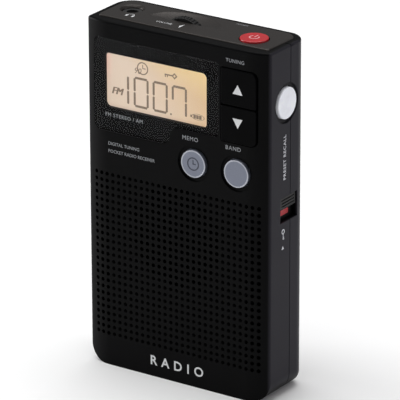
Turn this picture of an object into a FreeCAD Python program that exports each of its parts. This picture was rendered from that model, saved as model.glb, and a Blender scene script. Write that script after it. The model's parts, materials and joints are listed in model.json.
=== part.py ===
import FreeCAD, Part
import math
import os
import re
import Sketcher
from FreeCAD import Placement, Rotation, Vector

# A pocket radio receiver, 65 x 111 x 22 mm, as an assembly of separate pieces.
# Frame: X to the right of the front face, Y from front to back, Z up; the origin is the middle of the
# flat base, halfway between the front face and the back. Millimetres.

doc = FreeCAD.newDocument("pocket_receiver")
sheet = doc.addObject("Spreadsheet::Sheet", "dims")
ALIASES = []


def size(alias, value, note):
    """One driving dimension in the sheet: its note in column A, its number in column B."""
    row = len(ALIASES) + 1
    sheet.set(f"A{row}", note)
    sheet.set(f"B{row}", str(value))
    sheet.setAlias(f"B{row}", alias)
    ALIASES.append(alias)


# ---------------------------------------------------------------- driving dimensions
size("case_width", 65, "case, side to side")
size("case_height", 111, "case, base to the top panel's face")
size("case_depth", 22, "case, front face to back")
size("wall", 1.8, "case side, back and base wall")
size("front_wall", 2.2, "case front wall")
size("shoulder_width", 8, "curved shoulder at each side of the front face")
size("shoulder_drop", 1.7, "how far the front face falls back at its sides")
size("base_corner", 6.5, "round lower corners, seen from the front")
size("back_corner", 6, "round upright edges at the back")
size("foot_radius", 3, "round lower edge at the back")
size("seam_depth", 12.2, "front face to the seam between the two shells")
size("seam_wide", 0.3, "groove along the seam")
size("seam_cut", 0.25, "groove along the seam")
size("panel_rise", 0.4, "top panel above the shells' rim")
size("panel_thick", 2.4, "top panel")
size("panel_side", 2.2, "case side to the top panel's end")
size("panel_front", 3.4, "front face to the top panel's front edge")
size("panel_back", 2.2, "case back to the top panel's back edge")
size("panel_ledge", 1.4, "ledge that the top panel rests on")
size("crease_radius", 0.7, "soft corner between the shoulder and the case side")
size("brow_radius", 0.8, "round top edge of the shells")
size("panel_corner", 1.2, "front corners of the top panel")
size("panel_bevel", 0.4, "bevel round the top panel")
size("fit_gap", 0.15, "gap around a piece that sits in a recess")
size("key_gap", 0.3, "gap around a piece that moves in a hole")
size("stem_gap", 0.1, "gap between a stem and what it pushes")
size("seat_gap", 0.1, "gap between the front wall and what seats behind it")
size("bore_gap", 0.05, "gap around a screw or shaft in its bore")
size("soft_edge", 0.3, "round edges of buttons and knobs")
size("press_travel", 0.7, "travel of a key or button")

size("lens_left", 2.9, "case side to the display lens")
size("lens_right", 17.4, "display lens's right end to the case side")
size("lens_top", 5.9, "display lens below the case's top")
size("lens_tall", 28.9, "display lens, its tall left part")
size("lens_short", 23.1, "display lens, its short right part")
size("lens_step", 27.5, "case side to the foot of the lens's S-shaped step")
size("lens_radius", 2.2, "display lens, its left corners")
size("lens_end_radius", 0.7, "display lens, its right corners")
size("lens_thick", 1.2, "display lens")
size("lens_proud", 0.15, "display lens above the front face")
size("mask_thick", 0.15, "printed mask behind the lens")
size("glass_thick", 1.6, "display glass")
size("guide_thick", 1.8, "light guide")
size("holder_wall", 0.7, "display frame")
size("window_left", 6.5, "case side to the display window")
size("window_width", 36.5, "display window")
size("window_height", 17.1, "display window")
size("window_top", 10.5, "display window below the case's top")
size("window_radius", 1.6, "display window corners")
size("glass_side", 1.5, "display glass past its window, at the sides and below")
size("glass_over", 1.2, "display glass past its window, above")

size("key_width", 12.3, "tuning key")
size("key_height", 11.2, "tuning key")
size("key_split", 0.35, "gap between the two tuning keys")
size("key_side", 4, "case side to the tuning keys")
size("key_proud", 0.35, "tuning keys above the front face")
size("key_top", 6.9, "tuning keys below the case's top")
size("key_radius", 2, "right outer corners of the tuning keys")
size("key_edge", 0.5, "other corners of the tuning keys")
size("key_round", 0.25, "round front edge of the tuning keys")
size("button_dia", 8.6, "round front buttons and power button")
size("button_row", 39.1, "round front buttons below the case's top")
size("memory_x", 6.4, "memory button from the middle")
size("band_x", 21.6, "band button from the middle")
size("button_proud", 0.3, "round buttons above their face")
size("dish_side", 1.4, "how far the dish around a front button is wider than it")
size("dish_depth", 0.55, "shallow dish around a round button")
size("flange_side", 0.8, "how far a button's flange is wider than its hole")
size("flange_thick", 0.8, "a button's flange")
size("flange_gap", 0.1, "gap between a flange and the wall")
size("stem_dia", 3, "stems and switch plungers")

size("grille_pitch_x", 2.08, "perforations, side to side")
size("grille_pitch_z", 2.16, "perforations, up and down")
size("grille_hole", 1.25, "perforation diameter")
size("grille_side", 3.3, "case side to the outermost perforation")
size("grille_low", 10.4, "base to the lowest perforations")
size("grille_high", 48.6, "highest perforations below the case's top")
size("dimple_depth", 1.35, "blind perforations away from the speaker")

size("speaker_dia", 36, "loudspeaker")
size("speaker_lap", 1.6, "how far the loudspeaker's rim reaches below the battery bay's top")
size("speaker_deep", 7, "loudspeaker, front to back")
size("cell_dia", 14.2, "AA cell")
size("cell_length", 49.2, "AA cell without its nub")
size("cell_nub", 1.2, "AA cell's nub, how far it stands out")
size("nub_dia", 5.4, "AA cell's nub")
size("cell_floor", 0.3, "gap under the lower cell")
size("cell_gap", 0.3, "gap between the two cells")
size("bay_wall", 0.8, "walls of the battery bay")
size("door_thick", 1.6, "battery door")
size("door_inset", 0.8, "battery door narrower than the bay, each side")
size("door_low", 0.3, "base to the battery door's lower edge")
size("door_tongue", 0.5, "how far the door's tongues reach under the shell")
size("door_rail", 0.9, "height of the door's rails behind the wall")
size("rail_thick", 0.6, "door's rails, side to side")
size("grip_side", 16, "grip grooves of the door, side to side")
size("grip_groove", 1, "grip grooves of the door, up and down")
size("grip_depth", 0.5, "grip grooves of the door")
size("grip_top", 5, "door's upper edge to its first grip groove")
size("spring_room", 0.9, "between a cell's end and a contact plate")
size("bay_clear", 0.25, "gap between the battery bay and the front shell's floor")
size("contact_thick", 0.3, "battery contact plates")
size("contact_wide", 9, "battery contact plates, front to back")
size("contact_tall", 10, "battery contact plates, up and down")
size("leaf_thick", 0.25, "leaf springs of the battery contacts")
size("leaf_wide", 4, "leaf springs, front to back")
size("leaf_foot", 1, "leaf springs, the flat at each end")
size("leaf_flat", 2, "leaf springs, the flat that meets the cell")
size("leaf_long", 8.4, "leaf springs, end to end")

size("board_back", 8.4, "front face to the back of the main board")
size("board_thick", 1.2, "main board")
size("board_low", 42.6, "base to the main board's lower edge")
size("board_top", 4.6, "main board's top edge below the case's top")
size("board_screw", 1.6, "board screws")
size("board_screw_head", 0.9, "heads of the board screws")
size("board_screw_deep", 2.6, "board screws ahead of the main board")
size("can_tall", 2.6, "tuner can above the main board")
size("chip_tall", 1.2, "chips above the main board")
size("capacitor_tall", 5.2, "capacitors above the main board")
size("crystal_dia", 2.6, "tuning crystal")
size("crystal_long", 7, "tuning crystal")
size("side_board", 10, "boards of the preset and power switches, along the case")
size("side_board_back", 6, "preset and power buttons' axes to the backs of their boards")
size("shaft_dia", 3, "volume shaft")
size("wheel_hub", 6.6, "hub in the middle of the wheel's dish")
size("wheel_screw", 4.6, "head of the wheel's screw")
size("pot_floor", 0.6, "floor of the volume control behind its shaft")
size("pot_width", 8, "volume potentiometer, side to side")
size("pot_low", 6, "volume shaft's axis to the potentiometer's lower end")
size("pot_gap", 0.2, "gap between the potentiometer and the thumbwheel")
size("jack_side", 8, "earphone socket's body")
size("magnet_dia", 16, "loudspeaker magnet")
size("magnet_gap", 0.8, "gap around the magnet in the main board")
size("magnet_tall", 2.8, "loudspeaker magnet")
size("rod_dia", 6.4, "ferrite rod")
size("rod_length", 40, "ferrite rod")
size("rod_down", 29, "ferrite rod's axis below the case's top")
size("rod_back", 7, "main board's back to the ferrite rod's axis")
size("coil_thick", 0.9, "antenna coil")
size("coil_length", 15, "antenna coil")
size("coil_start", 4, "ferrite rod's end to the antenna coil")
size("cradle_wide", 2.4, "ferrite rod's cradles, side to side")
size("cradle_wall", 1, "cradle above and below the ferrite rod")
size("wheel_dia", 15.4, "volume thumbwheel")
size("wheel_thick", 2.2, "volume thumbwheel")
size("wheel_x", -4.4, "volume thumbwheel from the middle")
size("wheel_rise", 1.3, "thumbwheel above the top panel")
size("wheel_depth", 11, "front face to the thumbwheel's front")
size("wheel_bevel", 0.35, "bevelled edges of the thumbwheel")
size("wheel_notch", 0.35, "notches round the thumbwheel, radius")
size("wheel_notches", 44, "notches round the thumbwheel, how many")
size("wheel_rim", 3, "thumbwheel's raised rim")
size("wheel_dished", 0.8, "thumbwheel's face inside its rim")
size("wheel_screw_head", 0.9, "screw in the thumbwheel")
size("scoop_width", 25, "thumb scoop, side to side")
size("scoop_back", 8, "thumb scoop, front to back")
size("scoop_deep", 1.7, "thumb scoop")
size("jack_x", -24.2, "earphone socket from the middle")
size("jack_depth", 13.1, "front face to the earphone socket's axis")
size("jack_bore", 3.6, "earphone socket's bore")
size("jack_length", 14, "earphone socket's bore, mouth to end")
size("jack_dish", 8.1, "dish around the earphone socket")
size("jack_sunk", 1, "depth of the earphone socket's dish")
size("jack_nose", 6, "earphone socket's nose")
size("power_x", 21.5, "power button from the middle")
size("power_depth", 9.5, "front face to the power button's axis")
size("power_proud", 0.5, "power button above the top panel")
size("preset_dia", 9.7, "preset button on the right side")
size("preset_depth", 10.1, "front face to the preset button's axis")
size("preset_down", 17.9, "preset button below the case's top")
size("preset_side", 1.4, "how far the dish around the preset button is wider than it")
size("preset_reach", 3, "case side's inner face to the preset switch's plunger")
size("power_reach", 3.6, "roof of the shells to the power switch's plunger")
size("lock_depth", 11.5, "front face to the middle of the lock slot")
size("lock_down", 51, "middle of the lock slot below the case's top")
size("lock_long", 9.2, "lock slot, front to back")
size("lock_tall", 8, "lock slot, up and down")
size("lock_knob", 3.9, "lock knob, up and down")
size("lock_proud", -0.4, "lock knob above the case side")
size("left_depth", 11.5, "front face to the middle of the left slots")
size("left_long", 3.6, "left slots, front to back")
size("left_knob", 4, "left knobs, up and down")
size("left_proud", 0.6, "left knobs above the case side")
size("sound_down", 42, "middle of the sound slot below the case's top")
size("sound_tall", 9.6, "sound slot, up and down")
size("bass_down", 61.5, "middle of the bass slot below the case's top")
size("bass_tall", 7.6, "bass slot, up and down")
size("skirt_thick", 1.1, "skirt behind a slide knob")
size("skirt_side", 1.1, "how far a skirt is wider than its knob")
size("skirt_gap", 0.2, "gap between a skirt and the case side")
size("skirt_over", 0.6, "how far a skirt covers its slot at the end of its travel")
size("peg_long", 2.8, "peg of a slide knob, behind its skirt")
size("peg_gap", 0.2, "gap beside a peg in its switch")
size("peg_ahead", 0.4, "gap ahead of a peg in its switch")
size("switch_gap", 1.6, "gap between a skirt and its switch")
size("switch_wall", 1.4, "switch case above and below its peg's path")
size("switch_back", 3, "middle of a slot to the back of its switch")
size("switch_deep", 4.8, "slide switch, across the case")
size("peg_side", 2, "peg of a slide knob")
size("screw_side", 3.6, "case side's inner face to the case screws")
size("screw_low", 39, "base to the lower case screws")
size("screw_high", 33, "upper case screws below the case's top")
size("boss_dia", 4.2, "screw bosses")
size("screw_dia", 2, "case screws")
size("screw_head", 3.6, "case screw heads")
size("head_tall", 1, "case screw heads")
size("head_seat", 1.2, "seat of the case screws below the back")
size("screw_ahead", 3.4, "case screws ahead of the seam")
size("boss_ahead", 4, "screw bosses ahead of the seam")
size("slit_wide", 0.6, "slits in the case screws")
size("slit_deep", 0.5, "slits in the case screws")
size("tact_side", 4.8, "push switches")
size("top_board", 8, "board under the power button, side to side")
size("tact_tall", 1.6, "push switches, without the plunger")
size("plunger_tall", 0.2, "push switch plungers")
doc.recompute()

# Places worked out from the sizes, as expressions that the objects are bound to.
FRONT = "(-case_depth/2)"
BACK = "(case_depth/2)"
HALF = "(case_width/2)"
SEAM = "(-case_depth/2+seam_depth)"
RIM = "(case_height-panel_rise)"
ROOF = "(case_height-panel_thick-panel_ledge)"
INNER_FRONT = "(-case_depth/2+front_wall)"
INNER_BACK = "(case_depth/2-wall)"
INNER_SIDE = "(case_width/2-wall)"
BOARD_BACK = "(-case_depth/2+board_back)"
BOARD_FRONT = "(-case_depth/2+board_back-board_thick)"

# ---------------------------------------------------------------- helpers
WORD = re.compile(r"\b(" + "|".join(sorted(ALIASES, key=len, reverse=True)) + r")\b")


def bound(text):
    """An expression as the document reads it, with every alias looked up in the sheet."""
    return WORD.sub(r"dims.\1", str(text))


def number(text):
    """The value that an expression has now."""
    value = sheet.evalExpression(bound(text))
    return float(getattr(value, "Value", value))


def bind(thing, prop, text):
    thing.setExpression(prop, bound(text))


TURN = {"x": Rotation(Vector(0, 1, 0), 90), "y": Rotation(Vector(1, 0, 0), -90), "z": Rotation()}


def set_place(thing, x, y, z, axis="z"):
    thing.Placement = Placement(Vector(number(x), number(y), number(z)), TURN[axis])
    for prop, text in (("x", x), ("y", y), ("z", z)):
        bind(thing, "Placement.Base." + prop, text)


def box(name, x0, x1, y0, y1, z0, z1):
    """A block between two corners."""
    made = doc.addObject("Part::Box", name)
    for prop, low, high in (("Length", x0, x1), ("Width", y0, y1), ("Height", z0, z1)):
        bind(made, prop, f"({high})-({low})")
    set_place(made, x0, y0, z0)
    return made


def rod(name, axis, x, y, z, radius, length):
    """A cylinder that starts at a point and runs along an axis."""
    made = doc.addObject("Part::Cylinder", name)
    bind(made, "Radius", radius)
    bind(made, "Height", length)
    set_place(made, x, y, z, axis)
    return made


def cone(name, axis, x, y, z, radius_a, radius_b, length):
    made = doc.addObject("Part::Cone", name)
    bind(made, "Radius1", radius_a)
    bind(made, "Radius2", radius_b)
    bind(made, "Height", length)
    set_place(made, x, y, z, axis)
    return made


def fuse(name, *pieces):
    made = doc.addObject("Part::MultiFuse", name)
    made.Shapes = list(pieces)
    made.Refine = True
    return made


def cut(name, base, *tools):
    made = doc.addObject("Part::Cut", name)
    made.Base = base
    made.Tool = tools[0] if len(tools) == 1 else fuse(name + "_tools", *tools)
    return made


def group(name, *pieces):
    """Several loose solids in one node."""
    made = doc.addObject("Part::Compound", name)
    made.Links = list(pieces)
    return made


def ring(name, axis, x, y, z, radius_out, radius_in, length):
    return cut(
        name,
        rod(name + "_outside", axis, x, y, z, radius_out, length),
        rod(name + "_bore", axis, x, y, z, radius_in, length),
    )


PLANES = {"x": "YZ_Plane", "y": "XZ_Plane", "z": "XY_Plane"}


def sketch_on(body, name, axis, at):
    """An empty sketch across an axis. Its own two directions are y z, x z or x y."""
    made = body.newObject("Sketcher::SketchObject", name)
    plane = [f for f in body.Origin.OriginFeatures if f.Role == PLANES[axis]][0]
    made.AttachmentSupport = [(plane, "")]
    made.MapMode = "FlatFace"
    sign = "-" if axis == "y" else ""
    made.AttachmentOffset = Placement(Vector(0, 0, number(f"{sign}({at})")), Rotation())
    bind(made, "AttachmentOffset.Base.z", f"{sign}({at})")
    return made


def hold(sketch, geometry, end, u, v):
    """Ties a point of a sketch's geometry to two expressions."""
    for kind, text in (("DistanceX", u), ("DistanceY", v)):
        index = sketch.addConstraint(Sketcher.Constraint(kind, -1, 1, geometry, end, number(text)))
        bind(sketch, f"Constraints[{index}]", text)


def draw_loop(sketch, corners):
    """A closed outline. A corner is (u, v), or (u, v, centre u, centre v, turn) where the edge that starts
    there is an arc about that centre, turning left for turn 1 and right for -1."""
    count = len(corners)
    spots = [Vector(number(c[0]), number(c[1]), 0) for c in corners]
    for i, corner in enumerate(corners):
        a, b = spots[i], spots[(i + 1) % count]
        if len(corner) == 2:
            edge = sketch.addGeometry(Part.LineSegment(a, b))
            start, finish = (edge, 1), (edge, 2)
        else:
            centre = Vector(number(corner[2]), number(corner[3]), 0)
            first, last = (a, b) if corner[4] > 0 else (b, a)
            angles = [math.atan2(p.y - centre.y, p.x - centre.x) for p in (first, last)]
            circle = Part.Circle(centre, Vector(0, 0, 1), (a - centre).Length)
            edge = sketch.addGeometry(Part.ArcOfCircle(circle, *angles))
            start, finish = ((edge, 1), (edge, 2)) if corner[4] > 0 else ((edge, 2), (edge, 1))
            # the ends are held by the corners, so one direction of the centre is enough
            flat = abs(a.x - b.x) > abs(a.y - b.y)
            kind, text = ("DistanceX", corner[2]) if flat else ("DistanceY", corner[3])
            index = sketch.addConstraint(Sketcher.Constraint(kind, -1, 1, edge, 3, number(text)))
            bind(sketch, f"Constraints[{index}]", text)
        if i == 0:
            opening = start
        else:
            sketch.addConstraint(Sketcher.Constraint("Coincident", *previous, *start))
        hold(sketch, start[0], start[1], corner[0], corner[1])
        previous = finish
    sketch.addConstraint(Sketcher.Constraint("Coincident", *previous, *opening))


def draw_circle(sketch, u, v, radius):
    edge = sketch.addGeometry(Part.Circle(Vector(number(u), number(v), 0), Vector(0, 0, 1), number(radius)))
    hold(sketch, edge, 3, u, v)
    index = sketch.addConstraint(Sketcher.Constraint("Radius", edge, number(radius)))
    bind(sketch, f"Constraints[{index}]", radius)


def extrude(body, kind, name, axis, low, high, *outlines):
    """A Pad or Pocket from low to high along an axis. A three-part outline of text is a circle."""
    sketch = sketch_on(body, name + "_sketch", axis, low)
    for outline in outlines:
        if isinstance(outline[0], (tuple, list)):
            draw_loop(sketch, outline)
        else:
            draw_circle(sketch, *outline)
    made = body.newObject("PartDesign::" + kind, name)
    made.Profile = sketch
    made.Reversed = (axis == "y") == (kind == "Pad")
    bind(made, "Length", f"({high})-({low})")
    sketch.Visibility = False
    doc.recompute()
    return made


def turn(body, kind, name, axis, x, y, z, outline, angle=360):
    """A Revolution or Groove about an axis through a point, its outline's corners as (radius, along)."""
    at = {"x": z, "y": x, "z": y}[axis]
    plane = {"x": "z", "y": "x", "z": "y"}[axis]
    sketch = sketch_on(body, name + "_sketch", plane, at)
    place = {
        "x": lambda r, a: (f"({x})+({a})", f"({y})+({r})"),
        "y": lambda r, a: (f"({y})+({a})", f"({z})+({r})"),
        "z": lambda r, a: (f"({x})+({r})", f"({z})+({a})"),
    }[axis]
    corners = []
    for corner in outline:
        spot = place(corner[0], corner[1])
        flip = -1 if axis == "z" else 1
        if len(corner) > 2:
            spot = spot + place(corner[2], corner[3]) + (corner[4] * flip,)
        corners.append(spot)
    draw_loop(sketch, corners)
    ends = [place("0", "0"), place("0", "1")]
    line = sketch.addGeometry(Part.LineSegment(*[Vector(number(u), number(v), 0) for u, v in ends]), True)
    for end, (u, v) in enumerate(ends, 1):
        hold(sketch, line, end, u, v)
    made = body.newObject("PartDesign::" + kind, name)
    made.Profile = sketch
    made.ReferenceAxis = (sketch, ["Axis0"])
    made.Angle = angle
    sketch.Visibility = False
    doc.recompute()
    return made


def body_named(name):
    return doc.addObject("PartDesign::Body", name)


def edges_where(feature, test):
    """Names of the edges whose middle point and direction pass a test."""
    names = []
    for i, edge in enumerate(feature.Shape.Edges, 1):
        middle = edge.valueAt((edge.FirstParameter + edge.LastParameter) / 2)
        if test(edge, middle):
            names.append(f"Edge{i}")
    return names


def upright(axis):
    """A test for straight edges along an axis."""
    way = {"x": Vector(1, 0, 0), "y": Vector(0, 1, 0), "z": Vector(0, 0, 1)}[axis]

    def test(edge, middle):
        run = edge.lastVertex().Point - edge.firstVertex().Point
        return edge.Curve.TypeId == "Part::GeomLine" and abs(run.dot(way)) > 0.999 * run.Length

    return test


def dress(body, kind, name, feature, edges, amount):
    """A Fillet or Chamfer on some of a feature's edges."""
    made = body.newObject("PartDesign::" + kind, name)
    made.Base = (feature, edges)
    bind(made, "Radius" if kind == "Fillet" else "Size", amount)
    doc.recompute()
    return made


NODES = []


def node(label, made):
    """Marks a finished sub-part: its label names its file."""
    made.Label = label
    NODES.append(made)
    return made


# ---------------------------------------------------------------- outlines
def rounded(u0, u1, v0, v1, *radii):
    """A rectangle's outline, anticlockwise from its lower left corner, with each corner's radius in turn."""
    r0, r1, r2, r3 = radii if len(radii) == 4 else radii * 4
    return [
        (f"{u0}+{r0}", v0),
        (f"{u1}-{r1}", v0, f"{u1}-{r1}", f"{v0}+{r1}", 1),
        (u1, f"{v0}+{r1}"),
        (u1, f"{v1}-{r2}", f"{u1}-{r2}", f"{v1}-{r2}", 1),
        (f"{u1}-{r2}", v1),
        (f"{u0}+{r3}", v1, f"{u0}+{r3}", f"{v1}-{r3}", 1),
        (u0, f"{v1}-{r3}"),
        (u0, f"{v0}+{r0}", f"{u0}+{r0}", f"{v0}+{r0}", 1),
    ]


def rectangle(u0, u1, v0, v1):
    return [(u0, v0), (u1, v0), (u1, v1), (u0, v1)]


SHOULDER = "((shoulder_width^2+shoulder_drop^2)/(2*shoulder_drop))"


def front_plan(side, front, end):
    """The front shell from above, in from the case side and the front face by two amounts."""
    edge = f"({HALF}-({side}))"
    knee = f"({HALF}-shoulder_width)"
    centre = f"({FRONT}+{SHOULDER})"
    crease = f"({centre}-sqrt(({SHOULDER}-({front}))^2-(shoulder_width-({side}))^2))"
    face = f"({FRONT}+({front}))"
    return [
        (f"-{edge}", end),
        (f"-{edge}", crease, f"-{knee}", centre, 1),
        (f"-{knee}", face),
        (knee, face, knee, centre, 1),
        (edge, crease),
        (edge, end),
    ]


def back_plan(inset, start):
    """The rear shell from above, in from the outside by an amount."""
    edge = f"({HALF}-({inset}))"
    face = f"({BACK}-({inset}))"
    radius = f"(back_corner-({inset}))"
    return [
        (f"-{edge}", start),
        (edge, start),
        (edge, f"{face}-{radius}", f"{edge}-{radius}", f"{face}-{radius}", 1),
        (f"{edge}-{radius}", face),
        (f"-{edge}+{radius}", face, f"-{edge}+{radius}", f"{face}-{radius}", 1),
        (f"-{edge}", f"{face}-{radius}"),
    ]


def case_half(name, plan, inset, low, high, crease=None):
    """A solid with a plan and the case's round corners, in from its outside by an amount."""
    body = body_named(name)
    pad = extrude(body, "Pad", name + "_plan", "z", low, high, plan)
    if crease:
        sides = edges_where(
            pad,
            lambda e, p: upright("z")(e, p) and abs(p.y - number(f"{FRONT}+shoulder_drop")) < 0.01,
        )
        dress(body, "Fillet", name + "_crease", pad, sides, crease)
    edge = f"({HALF}-({inset}))"
    radius = f"(base_corner-({inset}))"
    for side, sign in (("left", "-"), ("right", "")):
        turn_left = 1 if sign else -1
        centre = (f"{sign}({edge}-{radius})", f"{low}+{radius}")
        extrude(body, "Pocket", f"{name}_{side}_corner", "y", f"{FRONT}-5", f"{BACK}+5", [
            (f"{sign}{edge}", f"{low}+{radius}", *centre, turn_left),
            (f"{sign}({edge}-{radius})", low),
            (f"{sign}({edge}-{radius})", f"{low}-5"),
            (f"{sign}({edge}+5)", f"{low}-5"),
            (f"{sign}({edge}+5)", f"{low}+{radius}"),
        ])
    return body


def lens_outline(gap):
    """The display lens from the front, with its S-shaped step, wider all round by a gap."""
    left = f"(-{HALF}+lens_left-{gap})"
    right = f"({HALF}-lens_right+{gap})"
    top = f"(case_height-lens_top+{gap})"
    low = f"(case_height-lens_top-lens_tall-{gap})"
    low_right = f"(case_height-lens_top-lens_short-{gap})"
    foot = f"(-{HALF}+lens_step)"
    arc = "((lens_tall-lens_short)/2)"
    waist = f"(case_height-lens_top-lens_short-{arc})"
    big = f"(lens_radius+{gap})"
    end = f"(lens_end_radius+{gap})"
    return [
        (f"{left}+{big}", low),
        (foot, low, foot, waist, 1),
        (f"{foot}+{arc}+{gap}", waist, f"{foot}+2*{arc}", waist, -1),
        (f"{foot}+2*{arc}", low_right),
        (f"{right}-{end}", low_right, f"{right}-{end}", f"{low_right}+{end}", 1),
        (right, f"{low_right}+{end}"),
        (right, f"{top}-{end}", f"{right}-{end}", f"{top}-{end}", 1),
        (f"{right}-{end}", top),
        (f"{left}+{big}", top, f"{left}+{big}", f"{top}-{big}", 1),
        (left, f"{top}-{big}"),
        (left, f"{low}+{big}", f"{left}+{big}", f"{low}+{big}", 1),
    ]


# ---------------------------------------------------------------- places shared by several pieces
LENS_BACK = f"({FRONT}-lens_proud+lens_thick)"
LENS_FLOOR = f"({LENS_BACK}+mask_thick)"
WINDOW = (f"(-{HALF}+window_left)", f"(-{HALF}+window_left+window_width)",
          "(case_height-window_top-window_height)", "(case_height-window_top)")
# The display glass and the frame round it: two ends side to side, two ends up and down.
GLASS = (f"({WINDOW[0]}-glass_side)", f"({WINDOW[1]}+glass_side)", f"({WINDOW[2]}-glass_side)",
         f"({WINDOW[3]}+glass_over)")
FRAME = tuple(f"({end}{sign}(holder_wall+fit_gap))" for end, sign in zip(GLASS, "-+-+"))
KEY_X0 = f"({HALF}-key_side-key_width)"
KEY_X1 = f"({HALF}-key_side)"
KEY_TOP = "(case_height-key_top)"
KEY_LOW = "(case_height-key_top-2*key_height-key_split)"
BUTTON_Z = "(case_height-button_row)"
PRESET_Y = f"({FRONT}+preset_depth)"
PRESET_Z = "(case_height-preset_down)"
POWER_Y = f"({FRONT}+power_depth)"
WHEEL_Z = "(case_height+wheel_rise-wheel_dia/2)"
WHEEL_Y = f"({FRONT}+wheel_depth)"
JACK_Y = f"({FRONT}+jack_depth)"
JACK_MOUTH = "(case_height-jack_sunk)"
SCREW_X = f"({INNER_SIDE}-screw_side)"
BOARD_SIDE = f"({SCREW_X}-boss_dia/2-skirt_gap)"
BOARD_TOP = "(case_height-board_top)"
ROD_Z = "(case_height-rod_down)"
# the slot for the thumbwheel is as wide as the wheel where it leaves the top panel
WHEEL_SLOT = "(sqrt((wheel_dia/2)^2-(wheel_dia/2-wheel_rise-panel_thick)^2)+key_gap)"
CELL_Y = f"({BACK}-door_thick-door_rail-fit_gap-cell_dia/2)"
BAY_FRONT = f"({CELL_Y}-cell_dia/2-fit_gap)"
CELL_LOW = "(wall+cell_floor)"
CELL_PITCH = "(cell_dia+cell_gap)"
CELL_LENGTH = "(cell_length+cell_nub)"
BAY_SIDE = f"({CELL_LENGTH}/2+spring_room+contact_thick)"
DOOR_SIDE = f"({BAY_SIDE}-door_inset)"
BAY_TOP = f"({CELL_LOW}+{CELL_PITCH}+cell_dia+2*fit_gap)"
SPEAKER_Z = f"({BAY_TOP}-speaker_lap+speaker_dia/2)"
DOOR_TOP = f"({BAY_TOP}+bay_wall/2)"

# The slots of the slide switches: which side, middle height, front-to-back middle, slot and knob sizes.
SLIDES = {
    "lock": (1, "(case_height-lock_down)", f"({FRONT}+lock_depth)", "lock_long", "lock_tall",
             "lock_knob", "lock_proud"),
    "sound": (-1, "(case_height-sound_down)", f"({FRONT}+left_depth)", "left_long", "sound_tall",
              "left_knob", "left_proud"),
    "bass": (-1, "(case_height-bass_down)", f"({FRONT}+left_depth)", "left_long", "bass_tall",
             "left_knob", "left_proud"),
}


def side_box(name, side, out0, out1, *rest):
    """A block at the right (side 1) or left (-1), between two distances from the middle plane."""
    ends = (out0, out1) if side > 0 else (f"-({out1})", f"-({out0})")
    return box(name, *ends, *rest)


# ---------------------------------------------------------------- case
def shared_holes():
    """Holes that the seam runs through, cut from both shells."""
    dish = f"{HALF}-dish_depth"
    holes = [
        rod("preset_hole", "x", f"{INNER_SIDE}-1", PRESET_Y, PRESET_Z, "preset_dia/2+key_gap", "wall+2"),
        rod("preset_dish_cut", "x", dish, PRESET_Y, PRESET_Z, "preset_dia/2+preset_side",
            "dish_depth+1"),
        rod("power_hole", "z", "power_x", POWER_Y, f"{ROOF}-1", "button_dia/2+key_gap", "panel_ledge+2"),
        rod("wheel_slot", "y", "wheel_x", f"{WHEEL_Y}-key_gap", WHEEL_Z, "wheel_dia/2+key_gap",
            "wheel_thick+2*key_gap"),
        rod("jack_hole", "z", "jack_x", JACK_Y, f"{ROOF}-1", "jack_nose/2+fit_gap", "panel_ledge+2"),
    ]
    for name, (side, z, y, long, tall, knob, proud) in SLIDES.items():
        holes.append(side_box(name + "_slot", side, f"{INNER_SIDE}-1", f"{HALF}+1", f"{y}-{long}/2",
                              f"{y}+{long}/2", f"{z}-{tall}/2", f"{z}+{tall}/2"))
    return holes


def panel_body(name, gap, low, high):
    """The top panel's outline, wider all round by a gap."""
    body = body_named(name)
    end = f"({HALF}-panel_side+{gap})"
    back = f"(back_corner-panel_back+{gap})"
    extrude(body, "Pad", name + "_pad", "z", low, high,
            rounded(f"(-{end})", end, f"({FRONT}+panel_front-{gap})", f"({BACK}-panel_back+{gap})",
                    "panel_corner", "panel_corner", back, back))
    return body


HOLES = shared_holes()
PANEL_RECESS = panel_body("panel_recess", "fit_gap", "case_height-panel_thick", "case_height+1")


def grille_holes():
    """Round perforations in rows: open in front of the loudspeaker, blind elsewhere."""
    pitch_x, pitch_z = number("grille_pitch_x"), number("grille_pitch_z")
    columns = int(number("(case_width-2*grille_side)/grille_pitch_x")) + 1
    rows = int(number("(case_height-grille_high-grille_low)/grille_pitch_z")) + 1
    radius, front = number("grille_hole/2"), number(FRONT)
    open_radius, middle = number("speaker_dia/2-2"), number(SPEAKER_Z)
    curve, knee = number(SHOULDER), number(f"{HALF}-shoulder_width")
    holes = []
    for row in range(rows):
        z = number("grille_low") + row * pitch_z
        for column in range(columns):
            x = (column - (columns - 1) / 2) * pitch_x
            fall = curve - math.sqrt(curve**2 - max(0, abs(x) - knee) ** 2)
            is_open = math.hypot(x, z - middle) < open_radius
            deep = number("front_wall") + 1 if is_open else number("dimple_depth")
            holes.append(Part.makeCylinder(radius, deep + fall + 1, Vector(x, front - 1, z), Vector(0, 1, 0)))
    made = doc.addObject("Part::Feature", "grille_holes")
    made.Shape = Part.Compound(holes)
    return made


def round_brow(body):
    """Rounds the top edge of a shell, all round but for the seam."""
    top = edges_where(body.Tip, lambda e, p: abs(p.z - number(RIM)) < 0.01 and abs(p.y - number(SEAM)) > 0.01)
    dress(body, "Fillet", body.Name + "_brow", body.Tip, top, "brow_radius")


def round_foot(body):
    """Rounds the lower edge at the back, up to the tops of the round lower corners."""
    start = number(f"{BACK}-back_corner")
    edges = edges_where(body.Tip, lambda e, p: p.z < number("base_corner") and p.y > start + 0.5)
    dress(body, "Fillet", body.Name + "_foot", body.Tip, edges, "foot_radius")


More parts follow.
